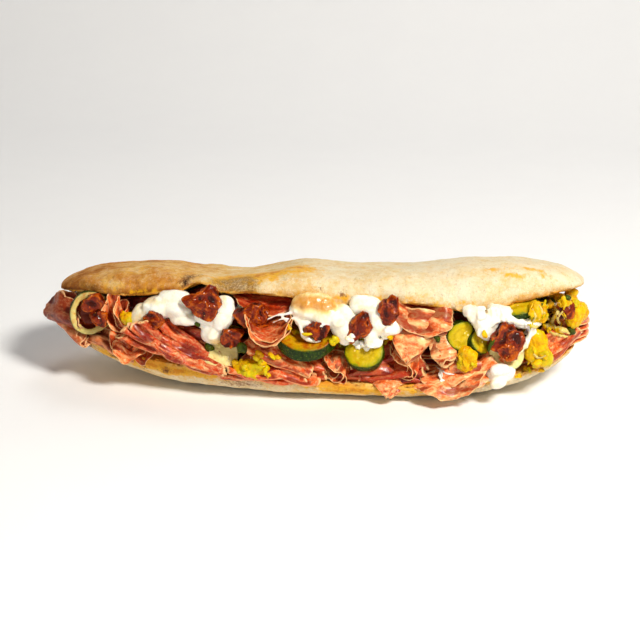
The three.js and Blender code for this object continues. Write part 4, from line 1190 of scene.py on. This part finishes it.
class Look:
    """A node material; every measure in it is in millimetres."""

    def __init__(self, name, where=None):
        self.material = bpy.data.materials.new(name)
        self.material.use_nodes = True
        self.tree = self.material.node_tree
        self.shader = self.tree.nodes["Principled BSDF"]
        scaled = self.add("ShaderNodeVectorMath", operation="SCALE")
        self.link(self.add("ShaderNodeTexCoord").outputs["Object"], scaled.inputs[0])
        scaled.inputs["Scale"].default_value = 1 / MM
        self.where = self.mark(where, "Vector") if where else scaled.outputs["Vector"]

    def add(self, kind, **settings):
        node = self.tree.nodes.new(kind)
        for key, value in settings.items():
            setattr(node, key, value)
        return node

    def link(self, value, socket):
        if isinstance(value, bpy.types.NodeSocket):
            self.tree.links.new(value, socket)
        else:
            socket.default_value = value

    def mark(self, name, output="Fac"):
        return self.add("ShaderNodeAttribute", attribute_name=name).outputs[output]

    def noise(self, size, detail=3.0, rough=0.55, bend=0.0, where=None, stretch=None):
        """Cloudy noise from 0 to 1."""
        where = where or self.where
        if stretch:
            scaled = self.add("ShaderNodeVectorMath", operation="MULTIPLY")
            self.link(where, scaled.inputs[0])
            scaled.inputs[1].default_value = stretch
            where = scaled.outputs["Vector"]
        node = self.add("ShaderNodeTexNoise")
        self.link(where, node.inputs["Vector"])
        node.inputs["Scale"].default_value = 1.0 / size
        node.inputs["Detail"].default_value = detail
        node.inputs["Roughness"].default_value = rough
        node.inputs["Distortion"].default_value = bend
        return node.outputs["Fac"]

    def cells(self, size, where=None):
        """The distance to the nearest of many scattered points."""
        node = self.add("ShaderNodeTexVoronoi", feature="F1")
        self.link(where or self.where, node.inputs["Vector"])
        node.inputs["Scale"].default_value = 1.0 / size
        node.inputs["Randomness"].default_value = 1.0
        return node.outputs["Distance"]

    def bent(self, amount, size):
        """The place, pushed about so that cells lose their straight sides."""
        node = self.add("ShaderNodeTexNoise")
        self.link(self.where, node.inputs["Vector"])
        node.inputs["Scale"].default_value = 1.0 / size
        mixed = self.add("ShaderNodeVectorMath", operation="MULTIPLY_ADD")
        self.link(node.outputs["Color"], mixed.inputs[0])
        mixed.inputs[1].default_value = (amount * 2, amount * 2, amount * 2)
        self.link(self.where, mixed.inputs[2])
        return mixed.outputs["Vector"]

    def maths(self, operation, a, b):
        node = self.add("ShaderNodeMath", operation=operation)
        self.link(a, node.inputs[0])
        self.link(b, node.inputs[1])
        return node.outputs["Value"]

    def plus(self, a, b):
        return self.maths("ADD", a, b)

    def times(self, a, b):
        return self.maths("MULTIPLY", a, b)

    def range(self, value, low, high, to_low=0.0, to_high=1.0):
        node = self.add("ShaderNodeMapRange", interpolation_type="SMOOTHSTEP")
        self.link(value, node.inputs["Value"])
        for key, number in (("From Min", low), ("From Max", high), ("To Min", to_low), ("To Max", to_high)):
            node.inputs[key].default_value = number
        return node.outputs["Result"]

    def ragged(self, mark, cloud, less, more=None):
        """A mark of the mesh whose borders a cloud frays: by up to `less` down and `more` up."""
        return self.plus(self.mark(mark), self.range(cloud, 0.3, 0.7, -less, more or less))

    def ramp(self, value, *stops):
        node = self.add("ShaderNodeValToRGB")
        self.link(value, node.inputs["Fac"])
        band = node.color_ramp
        while len(band.elements) < len(stops):
            band.elements.new(0.5)
        for element, (place, _) in zip(band.elements, stops):
            element.position = place
        for element, (_, colour) in zip(band.elements, stops):
            element.color = colour
        return node.outputs["Color"]

    def mix(self, share, a, b, blend="MIX"):
        node = self.add("ShaderNodeMix", data_type="RGBA", blend_type=blend)
        self.link(share, node.inputs[0])
        self.link(a, node.inputs[6])
        self.link(b, node.inputs[7])
        return node.outputs[2]

    def tint(self, colour, shade, value, low, high, most=1.0):
        """A colour turned towards a shade as a value goes from `low` to `high`."""
        return self.mix(self.range(value, low, high, 0.0, most), colour, shade)

    def darker(self, colour, shadow):
        return self.mix(0.9, colour, shadow, "MULTIPLY")

    def bump(self, height, depth, under=None):
        node = self.add("ShaderNodeBump")
        node.inputs["Strength"].default_value = 1.0
        node.inputs["Distance"].default_value = depth * MM
        self.link(height, node.inputs["Height"])
        if under is not None:
            self.link(under, node.inputs["Normal"])
        return node.outputs["Normal"]

    def finish(self, colour, rough, normal=None, **sockets):
        self.link(colour, self.shader.inputs["Base Color"])
        self.link(rough, self.shader.inputs["Roughness"])
        if normal is not None:
            self.link(normal, self.shader.inputs["Normal"])
        for key, value in sockets.items():
            self.shader.inputs[key.replace("_", " ")].default_value = value
        return self.material


def crust_look():
    look = Look("crust")
    cloud = look.range(look.noise(7.0, 4.0, 0.6, 0.4), 0.3, 0.75, -0.10, 0.11)
    speck = look.range(look.noise(1.5, 3.0, 0.6), 0.35, 0.7, -0.02, 0.03)
    # The toast and shade mark: real browning, deeper at the lip, and painted shade on the left end.
    shade = look.plus(look.plus(look.mark("toast"), cloud), speck)
    colour = look.ramp(
        shade,
        (0.0, rgb(236, 222, 190)), (0.16, rgb(232, 206, 154)), (0.36, rgb(224, 174, 90)),
        (0.54, rgb(200, 132, 48)), (0.74, rgb(156, 88, 22)), (1.0, rgb(92, 46, 12)),
    )
    flour = look.times(look.range(look.noise(5.0, 5.0, 0.7, 1.0), 0.42, 0.62), look.range(shade, 0.75, 0.2))
    flour = look.times(flour, look.range(look.noise(0.7, 2.0), 0.42, 0.6, 0.15, 0.5))
    colour = look.mix(flour, colour, rgb(244, 232, 206))
    fleck = look.range(look.cells(2.6, look.bent(1.0, 2.0)), 0.18, 0.05)
    fleck = look.times(fleck, look.range(look.noise(16.0), 0.45, 0.7, 0.0, 0.6))
    colour = look.mix(fleck, colour, rgb(164, 100, 40))
    stain = look.ragged("stain", look.noise(4.0, 4.0, 0.65), 0.45)
    colour = look.tint(colour, rgb(240, 176, 16), stain, 0.25, 1.0, 0.9)
    colour = look.tint(colour, rgb(206, 118, 8), stain, 1.1, 1.7, 0.7)
    sooty = look.range(look.noise(1.1, 4.0, 0.8), 0.34, 0.62, 0.25, 0.9)
    colour = look.mix(look.times(look.range(look.mark("soot"), 0.1, 1.0), sooty), colour, rgb(122, 82, 26))
    burnt = look.ragged("char", look.noise(1.6, 5.0, 0.7), 0.45, 0.35)
    colour = look.tint(colour, rgb(136, 80, 34), burnt, 0.10, 0.6, 0.75)
    colour = look.tint(colour, rgb(34, 20, 14), burnt, 0.6, 1.0, 0.95)
    # Painted shade in the pores of the crumb: darker at each pore's centre.
    pores = look.range(look.cells(2.4, look.bent(1.2, 2.5)), 0.1, 0.5)
    crumb = look.mix(pores, rgb(196, 122, 24), rgb(244, 200, 108))
    crumb = look.tint(crumb, rgb(236, 158, 30), look.noise(14.0, 3.0), 0.38, 0.60, 0.85)
    colour = look.mix(look.mark("crumb"), colour, crumb)
    normal = look.bump(look.noise(3.4, 5.0, 0.65), 1.3)
    normal = look.bump(look.noise(0.7, 3.0, 0.7), 0.45, normal)
    rough = look.range(stain, 0.2, 0.9, 0.86, 0.55)
    return look.finish(colour, rough, normal, Subsurface_Weight=0.08, Subsurface_Scale=0.002,
                       Specular_IOR_Level=0.2)


def meat_look(name, lean, lean_dark, fat, grain, wet, glow):
    """A cured or cooked slice: soft streaks of fat along its folds, pale rims, a wet shine, painted
    highlight on the crests of its folds and painted shade in their valleys.
    """
    look = Look(name, "flat")
    # The slice's tone and shade mark: above 0 it paints shade, darkening the lean, thinning the fat and
    # darkening the whole slice; below 0 the slice is paler with more fat, partly real fat and partly painted
    # light.
    tone = look.mark("tone")
    cloud = look.plus(look.noise(13.0, 3.0, 0.5, 0.4), look.times(tone, -0.14))
    meat = look.tint(lean_dark, lean, cloud, 0.22, 0.70)
    bent = look.bent(1.3, 4.0)
    streak = look.noise(2.6 * grain, 4.0, 0.6, 0.4, bent, (0.42, 1.0, 1.0))
    streak = look.range(look.plus(streak, look.times(tone, -0.06)), 0.48, 0.67)
    fine = look.range(look.noise(0.9 * grain, 3.0, 0.65, 0.2, bent, (0.5, 1.0, 1.0)), 0.48, 0.64)
    spots = look.range(look.cells(2.6 * grain, look.bent(1.4, 1.8)), 0.30, 0.12)
    spots = look.times(spots, look.range(look.noise(7.0), 0.42, 0.62, 0.0, 0.6))
    fatty = look.maths("MAXIMUM", look.times(streak, 0.86), look.times(fine, 0.42))
    colour = look.mix(look.maths("MAXIMUM", fatty, spots), meat, fat)
    colour = look.tint(colour, fat, tone, 0.0, -1.0, 0.14)
    # Painted highlight on the crests of the folds, and painted shade, near black, in their valleys.
    crest = look.ragged("crest", look.noise(3.0, 3.0), 0.12)
    colour = look.tint(colour, fat, crest, 0.55, 1.0, 0.34)
    colour = look.tint(colour, look.darker(colour, (0.26, 0.05, 0.012, 1.0)), crest, 0.58, 0.08, 0.92)
    # Painted shade: slices with a tone and shade mark above 0 are made darker all over.
    colour = look.tint(colour, look.darker(colour, (0.42, 0.11, 0.03, 1.0)), tone, 0.0, 1.0, 0.85)
    edge = look.ragged("rim", look.noise(2.0, 3.0), 0.025)
    colour = look.tint(colour, fat, edge, 0.935, 0.985, 0.7)
    pepper = look.times(look.range(look.cells(9.0), 0.06, 0.035), 0.8)
    colour = look.mix(pepper, colour, rgb(46, 16, 8))
    normal = look.bump(look.noise(4.0, 3.0, 0.5), 0.5)
    normal = look.bump(look.noise(0.8, 3.0, 0.7), 0.06, normal)
    rough = look.range(look.noise(4.0, 4.0, 0.6), 0.35, 0.65, wet, wet + 0.26)
    return look.finish(colour, rough, normal, Subsurface_Weight=glow, Subsurface_Scale=0.003,
                       Subsurface_Radius=(1.0, 0.35, 0.12), Coat_Weight=0.14, Coat_Roughness=0.18,
                       Specular_IOR_Level=0.25)


def tomato_look():
    look = Look("dried_tomato", "flat")
    cloud = look.noise(4.0, 4.0, 0.65, 0.6)
    colour = look.ramp(cloud, (0.25, rgb(78, 14, 2)), (0.5, rgb(118, 30, 3)), (0.75, rgb(160, 58, 6)))
    # Orange on the ridges and curled lips: partly the paler thin flesh and partly painted light on the
    # ridges.
    edge = look.ragged("thin", look.noise(1.8, 3.0), 0.25)
    colour = look.tint(colour, rgb(222, 108, 10), edge, 0.42, 1.15, 0.6)
    # Painted shade in the tomato's fold valleys and creases, near black.
    hollow = look.ragged("deep", look.noise(2.2, 3.0), 0.2)
    colour = look.tint(colour, rgb(46, 6, 1), hollow, 0.12, 0.85, 0.88)
    seeds = look.range(look.cells(3.0, look.bent(1.0, 3.0)), 0.17, 0.10)
    seeds = look.times(seeds, look.range(look.noise(9.0), 0.5, 0.6, 0.0, 0.7))
    colour = look.mix(seeds, colour, rgb(226, 150, 62))
    normal = look.bump(look.noise(2.4, 4.0, 0.6), 0.5)
    normal = look.bump(look.noise(0.9, 3.0, 0.6), 0.16, normal)
    rough = look.range(look.noise(2.6, 3.0), 0.35, 0.65, 0.2, 0.42)
    return look.finish(colour, rough, normal, Subsurface_Weight=0.15, Subsurface_Scale=0.002,
                       Subsurface_Radius=(1.0, 0.3, 0.05), Coat_Weight=0.32, Coat_Roughness=0.04,
                       Specular_IOR_Level=0.06)


def courgette_look():
    look = Look("courgette", "flat")
    ring = look.ragged("radial", look.noise(3.0, 3.0), 0.05)
    flesh = look.ramp(
        ring,
        (0.0, rgb(194, 162, 18)), (0.34, rgb(210, 180, 32)), (0.5, rgb(186, 156, 6)),
        (0.66, rgb(202, 174, 16)), (0.84, rgb(182, 166, 5)), (0.95, rgb(116, 124, 4)),
    )
    flesh = look.mix(look.times(look.mark("pale"), 0.8), flesh, rgb(244, 226, 160))
    seeds = look.range(look.cells(3.4, look.bent(0.8, 3.0)), 0.22, 0.12)
    flesh = look.mix(look.times(seeds, look.range(ring, 0.58, 0.44)), flesh, rgb(248, 232, 150))
    oily = look.plus(look.noise(8.0, 5.0, 0.7, 1.0), look.times(look.mark("glaze"), 0.2))
    flesh = look.tint(flesh, rgb(206, 126, 8), oily, 0.54, 0.72, 0.6)
    flesh = look.tint(flesh, rgb(168, 66, 4), oily, 0.68, 0.84, 0.8)
    # The scooped heart of the round painted dark red-brown.
    darkened_heart = look.ragged("scoop", look.noise(2.4, 3.0), 0.25)
    flesh = look.tint(flesh, rgb(96, 26, 4), darkened_heart, 0.35, 0.75)
    mottle = look.noise(2.2, 4.0, 0.7)
    skin = look.ramp(mottle, (0.3, rgb(10, 26, 1)), (0.55, rgb(32, 56, 2)), (0.8, rgb(84, 108, 6)))
    skin = look.tint(skin, rgb(140, 160, 46), look.cells(1.3), 0.26, 0.12, 0.5)
    colour = look.mix(look.mark("skin"), flesh, skin)
    normal = look.bump(look.noise(2.2, 4.0, 0.6), 0.6)
    normal = look.bump(look.noise(0.6, 2.0), 0.12, normal)
    rough = look.range(look.noise(3.0, 3.0), 0.35, 0.65, 0.2, 0.44)
    return look.finish(colour, rough, normal, Subsurface_Weight=0.25, Subsurface_Scale=0.003,
                       Subsurface_Radius=(1.0, 0.9, 0.15), Coat_Weight=0.06, Coat_Roughness=0.06,
                       Specular_IOR_Level=0.15)


def yellow_look():
    look = Look("yellow_courgette", "flat")
    colour = look.ramp(
        look.noise(4.5, 4.0, 0.65, 0.8),
        (0.24, rgb(196, 122, 0)), (0.45, rgb(226, 168, 0)),
        (0.62, rgb(242, 196, 4)), (0.8, rgb(250, 216, 30)),
    )
    colour = look.tint(colour, rgb(246, 214, 44), look.mark("thin"), 0.2, 1.0, 0.3)
    streak = look.noise(1.6, 3.0, 0.6, stretch=(1.0, 1.0, 0.25))
    colour = look.tint(colour, rgb(216, 150, 4), streak, 0.52, 0.68, 0.4)
    colour = look.tint(colour, rgb(182, 184, 8), look.noise(10.0, 3.0), 0.48, 0.62, 0.65)
    normal = look.bump(look.noise(2.0, 4.0, 0.6), 0.7)
    normal = look.bump(streak, 0.25, normal)
    rough = look.range(look.noise(3.0, 3.0), 0.35, 0.65, 0.2, 0.42)
    return look.finish(colour, rough, normal, Subsurface_Weight=0.3, Subsurface_Scale=0.003,
                       Subsurface_Radius=(1.0, 0.75, 0.05), Coat_Weight=0.06, Coat_Roughness=0.06,
                       Specular_IOR_Level=0.15)


def cream_look():
    look = Look("cream")
    colour = look.ramp(
        look.noise(9.0, 4.0, 0.55, 0.4),
        (0.3, rgb(255, 252, 242)), (0.55, rgb(253, 246, 228)),
        (0.70, rgb(250, 234, 196)), (0.84, rgb(246, 212, 140)),
    )
    oiled = look.ragged("oiled", look.noise(4.0, 3.0, 0.5), 0.16)
    colour = look.tint(colour, rgb(246, 206, 104), oiled, 0.1, 0.9, 0.8)
    colour = look.tint(colour, rgb(210, 136, 32), oiled, 0.7, 1.4, 0.85)
    curd = look.noise(2.4, 4.0, 0.6, 0.6)
    # Painted shade: a little beige in the dents of the curd bump.
    colour = look.mix(look.range(curd, 0.35, 0.52, 0.18, 0.0), colour, rgb(232, 208, 164))
    normal = look.bump(curd, 0.35)
    normal = look.bump(look.noise(0.7, 2.0), 0.05, normal)
    rough = look.range(look.noise(3.0, 3.0), 0.35, 0.65, 0.18, 0.36)
    return look.finish(colour, rough, normal, Subsurface_Weight=0.35, Subsurface_Scale=0.004,
                       Subsurface_Radius=(1.0, 0.75, 0.45), Coat_Weight=0.4, Coat_Roughness=0.08)


def oil_look():
    look = Look("oil")
    colour = look.mix(look.noise(6.0, 3.0), rgb(226, 116, 8), rgb(196, 70, 4))
    rough = look.range(look.noise(2.0), 0.3, 0.7, 0.04, 0.12)
    return look.finish(colour, rough, Coat_Weight=0.3, Coat_Roughness=0.03)


crust = crust_look()
salami = meat_look("salami", rgb(244, 102, 24), rgb(210, 50, 4), rgb(255, 210, 146), 1.0, 0.26, 0.12)
ham = meat_look("ham", rgb(216, 104, 40), rgb(164, 54, 14), rgb(244, 190, 136), 1.9, 0.3, 0.15)
tomato = tomato_look()
courgette = courgette_look()
yellow = yellow_look()
cream = cream_look()

# ---- The panini -----------------------------------------------------------------------------

dress(make_base("bread_base_loaf"), crust, "crust", "bread_base")
dress(make_lid("bread_lid_loaf"), crust, "crust", "bread_lid")
dress(salami_stack("salami_layer_sheets", SALAMI_LAYER), salami, "salami", "salami_layer")
dress(courgette_tiles("courgette_layer_rounds", COURGETTE_LAYER), courgette, "courgette", "courgette_layer")
dress(cream_spread("cream_layer_spread", CREAM_LAYER), cream, "cream", "cream_layer")
dress(meat_lining("salami_lining", CREAM_LAYER), salami, "salami")

for kind, table, make, material, slot in (
    ("dried_tomato", DRIED_TOMATO, dried_tomato, tomato, "dried_tomato"),
    ("yellow_courgette", YELLOW_PIECE, yellow_piece, yellow, "yellow_courgette"),
    ("courgette_round", COURGETTE_ROUND, courgette_round, courgette, "courgette"),
    ("cream_run", CREAM_RUN, cream_run, cream, "cream"),
):
    for number, spec in enumerate(table, 1):
        node = f"{kind}_{number}"
        spec = {"seed": number, "number": number, **spec}
        dress(make(f"{node}_piece", spec), material, slot, node)

for kind, table, style, material, slot in (
    ("salami_slice", SALAMI_SLICE, SALAMI, salami, "salami"),
    ("ham_slice", HAM_SLICE, HAM, ham, "ham"),
):
    for number, spec in enumerate(table, 1):
        node = f"{kind}_{number}"
        dress(slices(f"{node}_piece", spec, number, style), material, slot, node)

# The small things land on the pieces above, so those have to be in place first.
bpy.context.view_layer.update()
FLESH = dict(skin=0.0, pale=0.6, glaze=0.0, radial=0.5)
GREEN_SKIN = dict(skin=0.85, pale=0.0, glaze=0.0, radial=0.95)
TOASTED = dict(toast=0.4, char=0.0, stain=0.9, soot=0.0, crumb=0.6)
OILY_FOOD = ("salami", "ham", "dried", "bread")

dress(bits("yellow_bits", YELLOW_BITS, 5, uneven=0.35), yellow, "yellow_courgette")
dress(bits("green_bits", GREEN_BITS, 2, uneven=0.2, **GREEN_SKIN), courgette, "courgette")
dress(bits("cream_bit", CREAM_BITS, 4), cream, "cream")
dress(bits("cream_curds", CREAM_CURDS, 6, uneven=0.25, sunk=0.3), cream, "cream")
dress(strings("cream_threads", CREAM_THREADS), cream, "cream")
dress(strings("courgette_shreds", SHREDS, **FLESH), courgette, "courgette")
dress(strings("yellow_shreds", fine_shreds(), thin=0.8), yellow, "yellow_courgette")
crumbs = bits("crumbs", crumb_rows(), 3, uneven=0.5, subdivisions=2, only=("bread",), **TOASTED)
dress(crumbs, crust, "crust")
oil = bits("oil_beads", oil_rows(), 13, uneven=0.1, sunk=0.4, subdivisions=2, only=OILY_FOOD)
dress(oil, oil_look(), "dried_tomato")

# ---- Floor ----------------------------------------------------------------------------------

# In metres.
FLOOR_FRONT, FLOOR_BACK, FLOOR_HALF_WIDTH = -1.2, 0.55, 2.2
BACKDROP_BEND, BACKDROP_TOP = 0.45, 1.6


def floor():
    """A pale floor that curves up into a backdrop."""
    bend = [
        (FLOOR_BACK + BACKDROP_BEND * math.sin(t), BACKDROP_BEND - BACKDROP_BEND * math.cos(t))
        for t in np.linspace(0.1, math.pi / 2, 14)
    ]
    run = [(FLOOR_FRONT, 0.0), (FLOOR_BACK, 0.0), *bend, (FLOOR_BACK + BACKDROP_BEND, BACKDROP_TOP)]
    points = [(x, y, z) for y, z in run for x in (-FLOOR_HALF_WIDTH, FLOOR_HALF_WIDTH)]
    mesh = bpy.data.meshes.new("floor")
    mesh.from_pydata(points, [], [[2 * i, 2 * i + 1, 2 * i + 3, 2 * i + 2] for i in range(len(run) - 1)])
    mesh.shade_smooth()
    thing = add_object("floor", mesh)
    look = Look("floor")
    colour = look.mix(look.noise(40.0, 3.0), rgb(252, 253, 255), rgb(248, 249, 252))
    thing.data.materials.append(look.finish(colour, 0.9))


floor()
